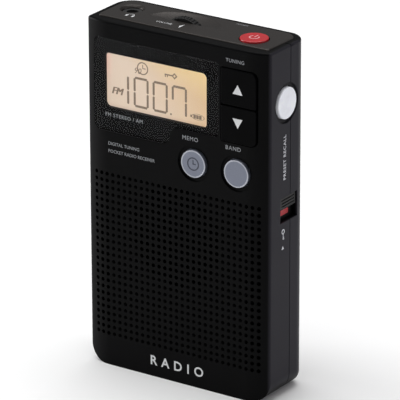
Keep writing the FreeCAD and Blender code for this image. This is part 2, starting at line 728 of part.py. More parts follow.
def seam_groove():
    """A shallow groove all round the case, on the seam: what lies outside a slightly smaller outline."""
    edge, small = f"({HALF}+1)", f"({HALF}-seam_cut)"
    radius = "(base_corner-seam_cut)"
    body = body_named("seam_groove")
    extrude(body, "Pad", "seam_band", "y", f"{SEAM}-seam_wide/2", f"{SEAM}+seam_wide/2",
            rectangle(f"-{edge}", edge, "-1", f"{RIM}+1"),
            rounded(f"-{small}", small, "seam_cut", f"{RIM}-seam_cut", radius, radius, "seam_cut", "seam_cut"))
    return body


SEAM_GROOVE = seam_groove()


def front_shell():
    outer = case_half("front_outer", front_plan("0", "0", SEAM), "0", "0", RIM, crease="crease_radius")
    round_brow(outer)
    cavity = case_half("front_cavity", front_plan("wall", "front_wall", f"{SEAM}+1"), "wall", "wall", ROOF)
    face = f"({FRONT}-1)"
    cuts = body_named("front_openings")
    extrude(cuts, "Pad", "lens_recess", "y", face, LENS_FLOOR, lens_outline("fit_gap"))
    extrude(cuts, "Pad", "window_hole", "y", face, f"{INNER_FRONT}+1",
            rounded(*WINDOW, "window_radius"))
    extrude(cuts, "Pad", "key_hole", "y", face, f"{INNER_FRONT}+1",
            rounded(f"({KEY_X0}-key_gap)", f"({KEY_X1}+key_gap)", f"({KEY_LOW}-key_gap)",
                    f"({KEY_TOP}+key_gap)", "(key_edge+key_gap)", "(key_radius+key_gap)",
                    "(key_radius+key_gap)", "(key_edge+key_gap)"))
    # the curved wall is thinned behind the pieces that lie flat against it
    wide = "(flange_side+2*key_gap)"
    relief = [
        box("key_relief", f"{KEY_X0}-{wide}", f"{KEY_X1}+{wide}", INNER_FRONT, f"{INNER_FRONT}+2",
            f"{KEY_LOW}-{wide}", f"{KEY_TOP}+{wide}"),
        rod("band_relief", "y", "band_x", INNER_FRONT, BUTTON_Z, f"button_dia/2+{wide}", "2"),
        box("frame_relief", f"{FRAME[0]}-fit_gap", f"{FRAME[1]}+fit_gap", INNER_FRONT, f"{INNER_FRONT}+2",
            f"{FRAME[2]}-fit_gap", f"{FRAME[3]}+fit_gap"),
    ]
    buttons = []
    for name in ("memory", "band"):
        buttons.append(rod(name + "_hole", "y", name + "_x", face, BUTTON_Z, "button_dia/2+key_gap",
                           "front_wall+2"))
        buttons.append(rod(name + "_dish", "y", name + "_x", face, BUTTON_Z, "button_dia/2+dish_side",
                           "dish_depth+1"))
    return node("front_shell", cut("front_case", outer, cavity, cuts, PANEL_RECESS, SEAM_GROOVE,
                                   grille_holes(), *relief, *buttons, *HOLES))


def screw_spots():
    return [(f"{sign}{SCREW_X}", z) for sign in ("-", "") for z in ("screw_low", "(case_height-screw_high)")]


def rear_shell():
    outer = case_half("rear_outer", back_plan("0", SEAM), "0", "0", RIM)
    round_foot(outer)
    round_brow(outer)
    cavity = case_half("rear_cavity", back_plan("wall", f"{SEAM}-1"), "wall", "wall", ROOF)
    shell = cut("rear_hollow", outer, cavity)
    outside = f"({BAY_SIDE}+bay_wall)"
    bay = cut(
        "bay",
        box("bay_block", f"-{outside}", outside, f"{BAY_FRONT}-bay_wall", f"{INNER_BACK}", "wall",
            f"{BAY_TOP}+bay_wall"),
        box("bay_space", f"-{BAY_SIDE}", BAY_SIDE, BAY_FRONT, f"{INNER_BACK}+1", "wall-1", BAY_TOP),
    )
    trim = box("bay_trim", f"-{outside}-1", f"{outside}+1", f"{BAY_FRONT}-bay_wall-1", SEAM, "0",
               "wall+bay_clear")
    bosses = []
    bores = []
    for i, (x, z) in enumerate(screw_spots()):
        bosses.append(rod(f"boss{i}", "y", x, f"{SEAM}-boss_ahead", z, "boss_dia/2",
                          f"{INNER_BACK}-{SEAM}+boss_ahead"))
        bores.append(rod(f"boss_bore{i}", "y", x, f"{SEAM}-boss_ahead-1", z, "screw_dia/2+bore_gap",
                         f"{BACK}-{SEAM}+boss_ahead+2"))
        bores.append(rod(f"boss_head{i}", "y", x, f"{BACK}-head_seat", z, "screw_head/2+fit_gap",
                         "head_seat+1"))
    door_side = f"({DOOR_SIDE}+fit_gap)"
    door_hole = box("door_hole", f"-{door_side}", door_side, f"{INNER_BACK}-0.01", f"{BACK}+1", "-1",
                    f"{DOOR_TOP}+fit_gap")
    # the door's rails and tongues slide out through a slot at each side of the floor
    rail_paths = [side_box(f"rail_path{i}", side, f"{DOOR_SIDE}-rail_thick-fit_gap",
                           f"{DOOR_SIDE}+door_tongue+fit_gap", f"{BACK}-door_thick-door_rail-fit_gap",
                           INNER_BACK, "-1", "wall+0.01") for i, side in enumerate((1, -1))]
    whole = fuse("rear_body", shell, cut("bay_trimmed", bay, trim), *bosses)
    return node("rear_shell", cut("rear_case", whole, PANEL_RECESS, SEAM_GROOVE, door_hole,
                                  *rail_paths, *bores, *HOLES))


def top_panel():
    body = panel_body("panel_blank", "0", "case_height-panel_thick", "case_height")
    rim = edges_where(body.Tip, lambda e, p: abs(p.z - number("case_height")) < 0.01)
    dress(body, "Chamfer", "panel_chamfer", body.Tip, rim, "panel_bevel")
    # half an ellipsoid, whose centre is as far above the panel as its lowest point is below it
    scoop = doc.addObject("Part::Ellipsoid", "scoop")
    bind(scoop, "Radius1", "2*scoop_deep")
    bind(scoop, "Radius2", "scoop_width/sqrt(3)")
    bind(scoop, "Radius3", "scoop_back*2/sqrt(3)")
    scoop.Angle3 = 180
    set_place(scoop, "wheel_x", WHEEL_Y, "case_height+scoop_deep")
    dish = cone("jack_dish_cut", "z", "jack_x", JACK_Y, JACK_MOUTH, "jack_nose/2+fit_gap",
                "jack_dish/2", "jack_sunk")
    bore = rod("jack_nose_hole", "z", "jack_x", JACK_Y, "case_height-panel_thick-1",
               "jack_nose/2+fit_gap", "panel_thick")
    power = rod("power_panel_hole", "z", "power_x", POWER_Y, "case_height-panel_thick-1",
                "button_dia/2+key_gap", "panel_thick+2")
    slot = box("wheel_panel_slot", f"wheel_x-{WHEEL_SLOT}", f"wheel_x+{WHEEL_SLOT}", f"{WHEEL_Y}-key_gap",
               f"{WHEEL_Y}+wheel_thick+key_gap", "case_height-panel_thick-1", "case_height+1")
    return node("top_panel", cut("panel_cut", body, scoop, dish, bore, power, slot))


# ---------------------------------------------------------------- display
def display_lens():
    body = body_named("lens_body")
    extrude(body, "Pad", "lens_pad", "y", f"{FRONT}-lens_proud", LENS_BACK, lens_outline("0"))
    knee = f"(-{HALF}+shoulder_width)"
    centre = f"({FRONT}+{SHOULDER})"
    crease = f"({centre}-sqrt(({SHOULDER}+lens_proud)^2-shoulder_width^2))"
    face = f"({FRONT}-lens_proud)"
    extrude(body, "Pocket", "lens_curve", "z", "case_height-lens_top-lens_tall-1", "case_height", [
        (knee, f"{face}-1"),
        (knee, face, knee, centre, -1),
        (f"-{HALF}", crease),
        (f"-{HALF}-1", crease),
        (f"-{HALF}-1", f"{face}-1"),
    ])
    return node("display_lens", body)


def display_mask():
    body = body_named("mask_body")
    extrude(body, "Pad", "mask_pad", "y", LENS_BACK, LENS_FLOOR, lens_outline("0"),
            rounded(*WINDOW, "window_radius"))
    return node("display_mask", body)


def display_stack():
    """Glass, light guide and the frame that holds them against the front wall."""
    front = f"({INNER_FRONT}+seat_gap)"
    middle = f"({front}+glass_thick)"
    back = f"({middle}+guide_thick)"
    node("display_glass", box("glass_block", *GLASS[:2], front, middle, *GLASS[2:]))
    node("light_guide", box("guide_block", *GLASS[:2], middle, back, *GLASS[2:]))
    block = box("holder_block", *FRAME[:2], front, BOARD_FRONT, *FRAME[2:])
    x0, x1, z0, z1 = (f"{end}{sign}fit_gap" for end, sign in zip(GLASS, "-+-+"))
    well = box("holder_well", x0, x1, f"{front}-1", back, z0, z1)
    x0, x1, z0, z1 = (f"{end}{sign}holder_wall" for end, sign in zip(GLASS, "+-+-"))
    hollow = box("holder_hollow", x0, x1, f"{back}+holder_wall", f"{BOARD_FRONT}+1", z0, z1)
    node("display_frame", cut("holder", block, well, hollow))


# ---------------------------------------------------------------- keys and buttons
SWITCH_FRONT = f"({BOARD_FRONT}-tact_tall-plunger_tall)"
STEM_END = f"({SWITCH_FRONT}-press_travel-stem_gap)"
FLANGE_FRONT = f"({INNER_FRONT}+flange_gap)"
FLANGE_BACK = f"({INNER_FRONT}+flange_gap+flange_thick)"


def tuning_key(name, low, high, corners, outer_low, outer_high):
    """A key, its flange on three sides and its stem."""
    body = body_named(name + "_body")
    extrude(body, "Pad", name + "_cap", "y", f"{FRONT}-key_proud", FLANGE_FRONT,
            rounded(KEY_X0, KEY_X1, low, high, *corners))
    rim = edges_where(body.Tip, lambda e, p: abs(p.y - number(f"{FRONT}-key_proud")) < 0.01)
    dress(body, "Fillet", name + "_round", body.Tip, rim, "key_round")
    extrude(body, "Pad", name + "_flange", "y", FLANGE_FRONT, FLANGE_BACK,
            rectangle(f"{KEY_X0}-flange_side", f"{KEY_X1}+flange_side", outer_low, outer_high))
    extrude(body, "Pad", name + "_stem", "y", FLANGE_BACK, STEM_END,
            (f"({KEY_X0}+{KEY_X1})/2", f"({low}+{high})/2", "stem_dia/2"))
    return node(name, body)


def tuning_keys():
    split = f"({KEY_LOW}+key_height)"
    tuning_key("tuning_key_down", KEY_LOW, split, ("key_edge", "key_radius", "key_edge", "key_edge"),
               f"{KEY_LOW}-flange_side", split)
    top = f"({split}+key_split)"
    tuning_key("tuning_key_up", top, KEY_TOP, ("key_edge", "key_edge", "key_radius", "key_edge"), top,
               f"{KEY_TOP}+flange_side")


def round_button(name, axis, x, y, z, dia, face, flange, back, end):
    """A turned button: the distances along its axis are its face, its flange's two faces and its end.
    A button that faces down its axis has them in rising order, one that faces up in falling order."""
    body = body_named(name + "_body")
    sign = 1 if number(end) > number(face) else -1
    soft = f"{'+' if sign > 0 else '-'}soft_edge"
    turn(body, "Revolution", name + "_turn", axis, x, y, z, [
        ("0", face),
        (f"{dia}/2-soft_edge", face, f"{dia}/2-soft_edge", f"{face}{soft}", -sign),
        (f"{dia}/2", f"{face}{soft}"),
        (f"{dia}/2", flange),
        (f"{dia}/2+flange_side", flange),
        (f"{dia}/2+flange_side", back),
        ("stem_dia/2", back),
        ("stem_dia/2", end),
        ("0", end),
    ])
    return node(name, body)


def round_buttons():
    for name in ("memory", "band"):
        round_button(name + "_button", "y", name + "_x", "0", BUTTON_Z, "button_dia",
                     f"({FRONT}-button_proud)", FLANGE_FRONT, FLANGE_BACK, STEM_END)
    round_button("preset_button", "x", "0", PRESET_Y, PRESET_Z, "preset_dia",
                 f"({HALF}+button_proud)", f"({INNER_SIDE}-flange_gap)",
                 f"({INNER_SIDE}-flange_gap-flange_thick)", f"({SIDE_SWITCH}+press_travel+stem_gap)")
    round_button("power_button", "z", "power_x", POWER_Y, "0", "button_dia",
                 "(case_height+power_proud)", f"({ROOF}-flange_gap)", f"({ROOF}-flange_gap-flange_thick)",
                 f"({TOP_SWITCH}+press_travel+stem_gap)")


# The plunger tips of the preset and power switches, and the boards under them.
SIDE_SWITCH = f"({INNER_SIDE}-preset_reach)"
SIDE_BOARD = f"({SIDE_SWITCH}-tact_tall-plunger_tall)"
TOP_SWITCH = f"({ROOF}-power_reach)"
TOP_BOARD = f"({TOP_SWITCH}-tact_tall-plunger_tall)"


def push_switch(name, axis, x, y, z, sign):
    """A square push switch whose plunger points along an axis, from the board at (x, y, z)."""
    start = {"x": x, "y": y, "z": z}
    foot = start[axis]
    spans = {way: (f"{at}-tact_side/2", f"{at}+tact_side/2") for way, at in start.items()}
    spans[axis] = (foot, f"{foot}+tact_tall") if sign > 0 else (f"{foot}-tact_tall", foot)
    case = box(name + "_case", *spans["x"], *spans["y"], *spans["z"])
    reach = "tact_tall+plunger_tall"
    if sign < 0:
        start[axis] = f"{foot}-({reach})"
    plunger = rod(name + "_plunger", axis, *start.values(), "stem_dia/2", reach)
    return fuse(name, case, plunger)


def push_switches():
    key_x = f"(({KEY_X0}+{KEY_X1})/2)"
    spots = [
        (key_x, f"({KEY_LOW}+key_height/2)"),
        (key_x, f"({KEY_TOP}-key_height/2)"),
        ("memory_x", BUTTON_Z),
        ("band_x", BUTTON_Z),
    ]
    made = [push_switch(f"front_switch{i}", "y", x, BOARD_FRONT, z, -1) for i, (x, z) in enumerate(spots)]
    node("front_switches", group("front_switch_set", *made))
    node("preset_switch", push_switch("preset_push", "x", SIDE_BOARD, PRESET_Y, PRESET_Z, 1))
    node("power_switch", push_switch("power_push", "z", "power_x", POWER_Y, TOP_BOARD, 1))


# ---------------------------------------------------------------- slide switches
def slide_control(name, side, z, y, long, tall, knob, proud):
    """A knob at the top of its slot, with a skirt that keeps the slot covered and a peg into its switch."""
    top = f"({z}+{tall}/2-fit_gap)"
    low = f"({top}-{knob})"
    reach = f"({tall}-{knob}+skirt_over)"
    half = f"({long}/2-key_gap)"
    skirt_out = f"({INNER_SIDE}-skirt_gap)"
    skirt_in = f"({skirt_out}-skirt_thick)"
    middle = f"(({top}+{low})/2)"
    knob_block = side_box(name + "_cap", side, skirt_out, f"{HALF}+{proud}", f"{y}-{half}", f"{y}+{half}",
                          low, top)
    soft = doc.addObject("Part::Fillet", name + "_soft")
    soft.Base = knob_block
    doc.recompute()
    outer = number(f"{HALF}+{proud}") * side
    rim = [i for i, e in enumerate(knob_block.Shape.Edges, 1)
           if abs(e.CenterOfMass.x - outer) < 0.01 and e.BoundBox.XLength < 0.01]
    soft.Edges = [(i, number("soft_edge"), number("soft_edge")) for i in rim]
    skirt = side_box(name + "_skirt", side, skirt_in, skirt_out, f"{y}-{half}-skirt_side",
                     f"{y}+{half}+skirt_side", f"{low}-{reach}", f"{top}+{reach}")
    peg = side_box(name + "_peg", side, f"{skirt_in}-peg_long", skirt_in, f"{y}-peg_side/2",
                   f"{y}+peg_side/2", f"{middle}-peg_side/2", f"{middle}+peg_side/2")
    node(name + "_knob", fuse(name + "_slider", soft, skirt, peg))
    face = f"({skirt_in}-switch_gap)"
    path_top = f"({middle}+peg_side/2+key_gap)"
    path_low = f"({z}-{tall}/2+fit_gap+{knob}/2-peg_side/2-key_gap)"
    case = side_box(name + "_case", side, f"{face}-switch_deep", face, BOARD_BACK, f"{y}+switch_back",
                    f"{path_low}-switch_wall", f"{path_top}+switch_wall")
    path = side_box(name + "_path", side, f"{skirt_in}-peg_long-peg_ahead", f"{face}+1",
                    f"{y}-peg_side/2-peg_gap", f"{y}+peg_side/2+peg_gap", path_low, path_top)
    node(name + "_switch", cut(name + "_switch_body", case, path))


# ---------------------------------------------------------------- volume wheel and earphone socket
def volume_control():
    body = body_named("wheel_body")
    hub = "(wheel_hub/2)"
    turn(body, "Revolution", "wheel_turn", "y", "wheel_x", WHEEL_Y, WHEEL_Z, [
        ("shaft_dia/2+bore_gap", "0"),
        ("wheel_dia/2-wheel_bevel", "0"),
        ("wheel_dia/2", "wheel_bevel"),
        ("wheel_dia/2", "wheel_thick-wheel_bevel"),
        ("wheel_dia/2-wheel_bevel", "wheel_thick"),
        ("wheel_dia/2-wheel_rim", "wheel_thick"),
        ("wheel_dia/2-wheel_rim-wheel_dished/2", "wheel_thick-wheel_dished"),
        (hub, "wheel_thick-wheel_dished"),
        (hub, "wheel_thick"),
        ("shaft_dia/2+bore_gap", "wheel_thick"),
    ])
    ribs = sketch_on(body, "rib_sketch", "y", f"{WHEEL_Y}-1")
    draw_circle(ribs, "wheel_x", f"{WHEEL_Z}+wheel_dia/2+bore_gap*2", "wheel_notch")
    notch = body.newObject("PartDesign::Pocket", "rib_notch")
    notch.Profile = ribs
    bind(notch, "Length", "wheel_thick+2")
    doc.recompute()
    axle = sketch_on(body, "rib_axis", "x", "wheel_x")
    ends = [Vector(along, number(WHEEL_Z), 0) for along in (0, 1)]
    line = axle.addGeometry(Part.LineSegment(*ends), True)
    hold(axle, line, 1, "0", WHEEL_Z)
    hold(axle, line, 2, "1", WHEEL_Z)
    ring_of = body.newObject("PartDesign::PolarPattern", "rib_pattern")
    ring_of.Originals = [notch]
    ring_of.Axis = (axle, ["Axis0"])
    ring_of.Angle = 360
    ring_of.Occurrences = int(number("wheel_notches"))
    body.Tip = ring_of
    doc.recompute()
    node("volume_wheel", body)
    pot_back = f"({WHEEL_Y}-pot_gap)"
    case = box("pot_block", "wheel_x-pot_width/2", "wheel_x+pot_width/2", BOARD_BACK, pot_back,
               f"{WHEEL_Z}-pot_low", f"{ROOF}-fit_gap")
    bore_end = f"({BOARD_BACK}+pot_floor)"
    bore = rod("pot_bore", "y", "wheel_x", bore_end, WHEEL_Z, "shaft_dia/2+bore_gap",
               f"{pot_back}-{BOARD_BACK}")
    node("volume_pot", cut("pot", case, bore))
    shaft_end = f"({bore_end}+stem_gap)"
    wheel_face = f"({WHEEL_Y}+wheel_thick)"
    node("volume_shaft", rod("shaft", "y", "wheel_x", shaft_end, WHEEL_Z, "shaft_dia/2",
                             f"{wheel_face}-{shaft_end}"))
    head = rod("wheel_screw_top", "y", "wheel_x", wheel_face, WHEEL_Z, "wheel_screw/2", "wheel_screw_head")
    slit = box("wheel_screw_slit", "wheel_x-shaft_dia", "wheel_x+shaft_dia",
               f"{wheel_face}+wheel_screw_head/2", f"{wheel_face}+2", f"{WHEEL_Z}-slit_wide/2",
               f"{WHEEL_Z}+slit_wide/2")
    node("wheel_screw", cut("wheel_screw_cut", head, slit))


def earphone_jack():
    side = "jack_side/2"
    block = box("jack_block", f"jack_x-{side}", f"jack_x+{side}", f"{JACK_Y}-{side}", f"{JACK_Y}+{side}",
                f"{JACK_MOUTH}-jack_length-1.5", ROOF)
    nose = rod("jack_collar", "z", "jack_x", JACK_Y, f"{ROOF}-1", "jack_nose/2", f"{JACK_MOUTH}-{ROOF}+1")
    bore = rod("jack_hollow", "z", "jack_x", JACK_Y, f"{JACK_MOUTH}-jack_length", "jack_bore/2",
               "jack_length+1")
    node("earphone_socket", cut("jack", fuse("jack_solid", block, nose), bore))


# ---------------------------------------------------------------- circuit boards and what is on them
def circuit_boards():
    round_hole = "(magnet_dia/2+magnet_gap)"
    board = box("board_sheet", f"-{BOARD_SIDE}", BOARD_SIDE, BOARD_FRONT, BOARD_BACK, "board_low",
                BOARD_TOP)
    hole = rod("board_round", "y", "0", f"{BOARD_FRONT}-1", SPEAKER_Z, round_hole, "board_thick+2")
    slot = box("board_slot", f"-{round_hole}", round_hole, f"{BOARD_FRONT}-1", f"{BOARD_BACK}+1",
               "board_low-1", SPEAKER_Z)
    holes = [rod(f"board_screw_hole{i}", "y", x, f"{BOARD_FRONT}-1", z, "board_screw/2+bore_gap",
                 "board_thick+2") for i, (x, z) in enumerate(BOARD_SCREWS)]
    notch = box("board_notch", "power_x-button_dia/2-flange_side-2*key_gap", f"{BOARD_SIDE}+1",
                f"{BOARD_FRONT}-1", f"{BOARD_BACK}+1", f"{TOP_BOARD}-2*key_gap", f"{BOARD_TOP}+1")
    node("main_board", cut("board", board, hole, slot, notch, *holes))
    node("side_board", box("side_sheet", f"{SIDE_BOARD}-board_thick", SIDE_BOARD, f"{BOARD_BACK}+seat_gap",
                           f"{PRESET_Y}+side_board_back", f"{PRESET_Z}-side_board/2",
                           f"{PRESET_Z}+side_board/2"))
    node("top_board", box("top_sheet", "power_x-top_board/2", "power_x+top_board/2",
                          f"{BOARD_BACK}+seat_gap", f"{POWER_Y}+side_board_back",
                          f"{TOP_BOARD}-board_thick", TOP_BOARD))


# Places on the main board, side to side and down from the case's top.
BOARD_SCREWS = [("-18.4", "(case_height-6.2)"), ("-21", "(case_height-36)"), ("15", "(case_height-47)")]


def board_screws():
    made = []
    for i, (x, z) in enumerate(BOARD_SCREWS):
        head = rod(f"board_screw_top{i}", "y", x, BOARD_BACK, z, "board_screw", "board_screw_head")
        stem = rod(f"board_screw_stem{i}", "y", x, f"{BOARD_FRONT}-board_screw_deep", z, "board_screw/2",
                   "board_thick+board_screw_deep+board_screw_head/2")
        made.append(fuse(f"board_screw{i}", head, stem))
    node("board_screws", group("board_screw_set", *made))


def board_parts():
    back = BOARD_BACK
    node("tuner_can", box("can", "-9", "8", back, f"{back}+can_tall", "(case_height-49)", "(case_height-37)"))
    # each chip: two ends side to side, its lower and upper edges below the case's top
    chips = [("-19", "-12", 51, 44), ("-6", "4", 32, 25), ("6", "13", 23.5, 17.5)]
    made = [box(f"chip{i}", x0, x1, back, f"{back}+chip_tall", f"case_height-{low}", f"case_height-{high}")
            for i, (x0, x1, low, high) in enumerate(chips)]
    node("integrated_circuits", group("chip_set", *made))
    # each capacitor: side to side, below the case's top, radius
    cans = [("14", 36, "2.2"), ("-14", 39, "2.5"), ("-17.5", 21, "2")]
    made = [rod(f"capacitor{i}", "y", x, back, f"(case_height-{down})", radius, "capacitor_tall")
            for i, (x, down, radius) in enumerate(cans)]
    node("capacitors", group("capacitor_set", *made))
    node("tuning_crystal", rod("crystal", "z", "10.5", f"{back}+crystal_dia/2+stem_gap", "(case_height-49)",
                               "crystal_dia/2", "crystal_long"))


def ferrite_antenna():
    y = f"({BOARD_BACK}+rod_back)"
    z = ROD_Z
    node("ferrite_rod", rod("rod_core", "x", "-rod_length/2", y, z, "rod_dia/2", "rod_length"))
    node("antenna_coil", ring("coil", "x", "-rod_length/2+coil_start", y, z, "rod_dia/2+coil_thick",
                              "rod_dia/2+bore_gap", "coil_length"))
    made = []
    for i, x in enumerate(("-rod_length/2+1", "rod_length/2-1-cradle_wide")):
        foot = box(f"cradle{i}", x, f"{x}+cradle_wide", BOARD_BACK, f"{y}+cradle_wall/2",
                   f"{z}-rod_dia/2-cradle_wall", f"{z}+rod_dia/2+cradle_wall")
        bore = rod(f"cradle_bore{i}", "x", f"{x}-1", y, z, "rod_dia/2+bore_gap", "cradle_wide+2")
        made.append(cut(f"cradle_cut{i}", foot, bore))
    node("rod_cradles", group("cradle_set", *made))


# ---------------------------------------------------------------- loudspeaker
def loudspeaker():
    front = f"({INNER_FRONT}+seat_gap)"
    body = body_named("basket_body")
    rim = "(speaker_dia/2)"
    deep = "(speaker_deep-magnet_tall)"
    turn(body, "Revolution", "basket_turn", "y", "0", front, SPEAKER_Z, [
        (rim, "0.5"),
        (rim, "1.3"),
        (f"{rim}-2", "1.3"),
        ("magnet_dia/2+0.6", deep),
        ("0", deep),
        ("0", f"{deep}-0.7"),
        ("magnet_dia/2", f"{deep}-0.7"),
        (f"{rim}-2.6", "0.5"),
    ])
    node("speaker_basket", body)
    node("speaker_magnet", rod("magnet", "y", "0", f"{front}+{deep}", SPEAKER_Z, "magnet_dia/2",
                               "magnet_tall"))
    cone_body = body_named("cone_body")
    turn(cone_body, "Revolution", "cone_turn", "y", "0", front, SPEAKER_Z, [
        (f"{rim}-0.6", "0.3"),
        (f"{rim}-0.6", "0.5"),
        (f"{rim}-3.2", "0.5"),
        ("5", "2.6"),
        ("4.6", "2.6"),
        ("0", "1.2"),
        ("0", "1"),
        ("4.6", "2.35"),
        (f"{rim}-3.4", "0.3"),
    ])
    node("speaker_cone", cone_body)


# ---------------------------------------------------------------- power
def cells():
    for i, name in enumerate(("lower_cell", "upper_cell")):
        z = f"({CELL_LOW}+cell_dia/2+{i}*{CELL_PITCH})"
        end = f"{CELL_LENGTH}/2"
        ends = (f"-{end}", f"{end}-cell_nub", end) if i == 0 else (end, f"-{end}+cell_nub", f"-{end}")
        body = body_named(name + "_body")
        turn(body, "Revolution", name + "_turn", "x", "0", CELL_Y, z, [
            ("0", ends[0]),
            ("cell_dia/2", ends[0]),
            ("cell_dia/2", ends[1]),
            ("nub_dia/2", ends[1]),
            ("nub_dia/2", ends[2]),
            ("0", ends[2]),
        ])
        node(name, body)


def contacts():
    """A plate at each end of each cell, and a bowed leaf spring at each cell's flat end."""
    plates = []
    springs = []
    plate = f"({BAY_SIDE}-contact_thick)"
    cell_end = f"({CELL_LENGTH}/2)"
    for i, way in enumerate((-1, 1)):
        z = f"({CELL_LOW}+cell_dia/2+{i}*{CELL_PITCH})"
        for side in (1, -1):
            plates.append(side_box(f"contact{i}{side + 1}", side, plate, BAY_SIDE, f"{CELL_Y}-contact_wide/2",
                                   f"{CELL_Y}+contact_wide/2", f"{z}-contact_tall/2", f"{z}+contact_tall/2"))
        # half of the strip's outline, from its foot on the plate to its flat on the cell
        half = [("leaf_long/2", plate), ("leaf_long/2-leaf_foot", plate),
                ("leaf_flat/2", f"({cell_end}+leaf_thick)")]
        under = [(far, f"({out}-leaf_thick)") for far, out in reversed(half)]
        lower = [(f"{way}*{out}", f"{z}-({far})") for far, out in half]
        upper = [(f"{way}*{out}", f"{z}+{far}") for far, out in reversed(half)]
        inner = [(f"{way}*{out}", f"{z}+{far}") for far, out in reversed(under)]
        back = [(f"{way}*{out}", f"{z}-({far})") for far, out in under]
        body = body_named(f"leaf{i}")
        extrude(body, "Pad", f"leaf_pad{i}", "y", f"{CELL_Y}-leaf_wide/2", f"{CELL_Y}+leaf_wide/2",
                lower + upper + inner + back)
        springs.append(body)
    node("contact_plates", group("contact_set", *plates))
    node("contact_springs", group("spring_set", *springs))


def battery_door():
    inner = f"({BACK}-door_thick)"
    plate = box("door_plate", f"-{DOOR_SIDE}", DOOR_SIDE, inner, BACK, "door_low", DOOR_TOP)
    rails = []
    for i, side in enumerate((1, -1)):
        rails.append(side_box(f"door_rail{i}", side, f"{DOOR_SIDE}-rail_thick", DOOR_SIDE,
                              f"{inner}-door_rail", inner, "door_low", f"{BAY_TOP}-fit_gap"))
        rails.append(side_box(f"door_tongue{i}", side, DOOR_SIDE, f"{DOOR_SIDE}+door_tongue",
                              f"{inner}-door_rail", f"{INNER_BACK}-seat_gap", "door_low",
                              f"{BAY_TOP}-fit_gap"))
    grips = []
    for i in range(4):
        edge = f"({DOOR_TOP}-grip_top-{2 * i}*grip_groove)"
        grips.append(box(f"door_grip{i}", "-grip_side/2", "grip_side/2", f"{BACK}-grip_depth", f"{BACK}+1",
                         f"{edge}-grip_groove", edge))
    # the door's lower end carries on the round lower edge of the case
    centre_y = f"({BACK}-foot_radius)"
    outside = box("door_foot_block", f"-{DOOR_SIDE}-1", f"{DOOR_SIDE}+1", centre_y, f"{BACK}+1", "-1",
                  "foot_radius")
    inside = rod("door_foot_round", "x", f"-{DOOR_SIDE}-2", centre_y, "foot_radius", "foot_radius",
                 f"2*{DOOR_SIDE}+4")
    foot = cut("door_foot", outside, inside)
    node("battery_door", cut("door", fuse("door_solid", plate, *rails), *grips, foot))


def case_screws():
    made = []
    for i, (x, z) in enumerate(screw_spots()):
        seat = f"({BACK}-head_seat)"
        tip = f"({SEAM}-screw_ahead)"
        head = rod(f"screw_top{i}", "y", x, seat, z, "screw_head/2", "head_tall")
        slit = box(f"screw_slit{i}", f"{x}-screw_head", f"{x}+screw_head", f"{seat}+head_tall-slit_deep",
                   f"{BACK}+1", f"{z}-slit_wide/2", f"{z}+slit_wide/2")
        stem = rod(f"screw_stem{i}", "y", x, tip, z, "screw_dia/2", f"{seat}-{tip}")
        made.append(fuse(f"screw{i}", cut(f"screw_head_cut{i}", head, slit), stem))
    node("case_screws", group("screw_set", *made))


# ---------------------------------------------------------------- the assembly
front_shell()
rear_shell()
top_panel()
display_lens()
display_mask()
display_stack()
tuning_keys()
round_buttons()
push_switches()
for control, values in SLIDES.items():
    slide_control(control, *values)
volume_control()
earphone_jack()
circuit_boards()
board_screws()
board_parts()
ferrite_antenna()
loudspeaker()
cells()
contacts()
battery_door()
case_screws()

# ---------------------------------------------------------------- checks and files
doc.recompute()
for thing in doc.Objects:
    if "Invalid" in thing.State or "Error" in thing.State:
        raise RuntimeError(f"{thing.Label}: {thing.State}")
os.makedirs("parts", exist_ok=True)
for made in NODES:
    shape = made.Shape
    if shape.isNull() or not shape.isValid() or not shape.Solids:
        raise RuntimeError(f"{made.Label}: no sound solid")
    shape.exportStep(f"parts/{made.Label}.step")
print(len(NODES), "parts")
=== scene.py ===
# %% [markdown]
# # A black pocket radio
#
# This lesson dresses a pocket radio whose solid parts come from a CAD model. The CAD parts fix every size
# and every movement. Blender adds what a CAD model leaves out: soft highlights on moulded plastic, a lit
# display with its figures, printed words, bright button rims, grip grooves on the small knobs, and the
# light of a photographer's table. Each step first says what the real piece is, and then makes it.

# %% Load the frame
import bpy
import json
import math
from mathutils import Matrix, Vector

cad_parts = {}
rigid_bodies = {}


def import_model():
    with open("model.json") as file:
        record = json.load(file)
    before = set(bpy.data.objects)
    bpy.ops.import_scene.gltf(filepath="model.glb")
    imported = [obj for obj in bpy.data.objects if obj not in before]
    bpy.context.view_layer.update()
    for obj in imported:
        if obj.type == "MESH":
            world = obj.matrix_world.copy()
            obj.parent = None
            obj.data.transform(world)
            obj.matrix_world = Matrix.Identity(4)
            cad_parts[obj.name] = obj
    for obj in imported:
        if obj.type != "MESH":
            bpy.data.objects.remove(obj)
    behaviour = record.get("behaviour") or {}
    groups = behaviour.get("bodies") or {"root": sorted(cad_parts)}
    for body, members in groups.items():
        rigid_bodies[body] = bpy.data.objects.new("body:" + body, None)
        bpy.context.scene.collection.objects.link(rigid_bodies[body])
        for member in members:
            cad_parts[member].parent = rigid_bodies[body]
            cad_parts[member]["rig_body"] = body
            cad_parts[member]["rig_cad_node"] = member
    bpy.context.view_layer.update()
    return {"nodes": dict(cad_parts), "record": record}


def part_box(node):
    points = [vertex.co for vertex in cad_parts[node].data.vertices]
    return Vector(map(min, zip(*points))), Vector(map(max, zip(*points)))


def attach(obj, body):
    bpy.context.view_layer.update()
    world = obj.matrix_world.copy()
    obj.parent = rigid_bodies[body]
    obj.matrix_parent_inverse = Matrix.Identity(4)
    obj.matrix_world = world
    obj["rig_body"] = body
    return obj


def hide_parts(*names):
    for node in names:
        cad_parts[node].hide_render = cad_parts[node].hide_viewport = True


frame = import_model()
nodes = frame["nodes"]
MM = 0.001

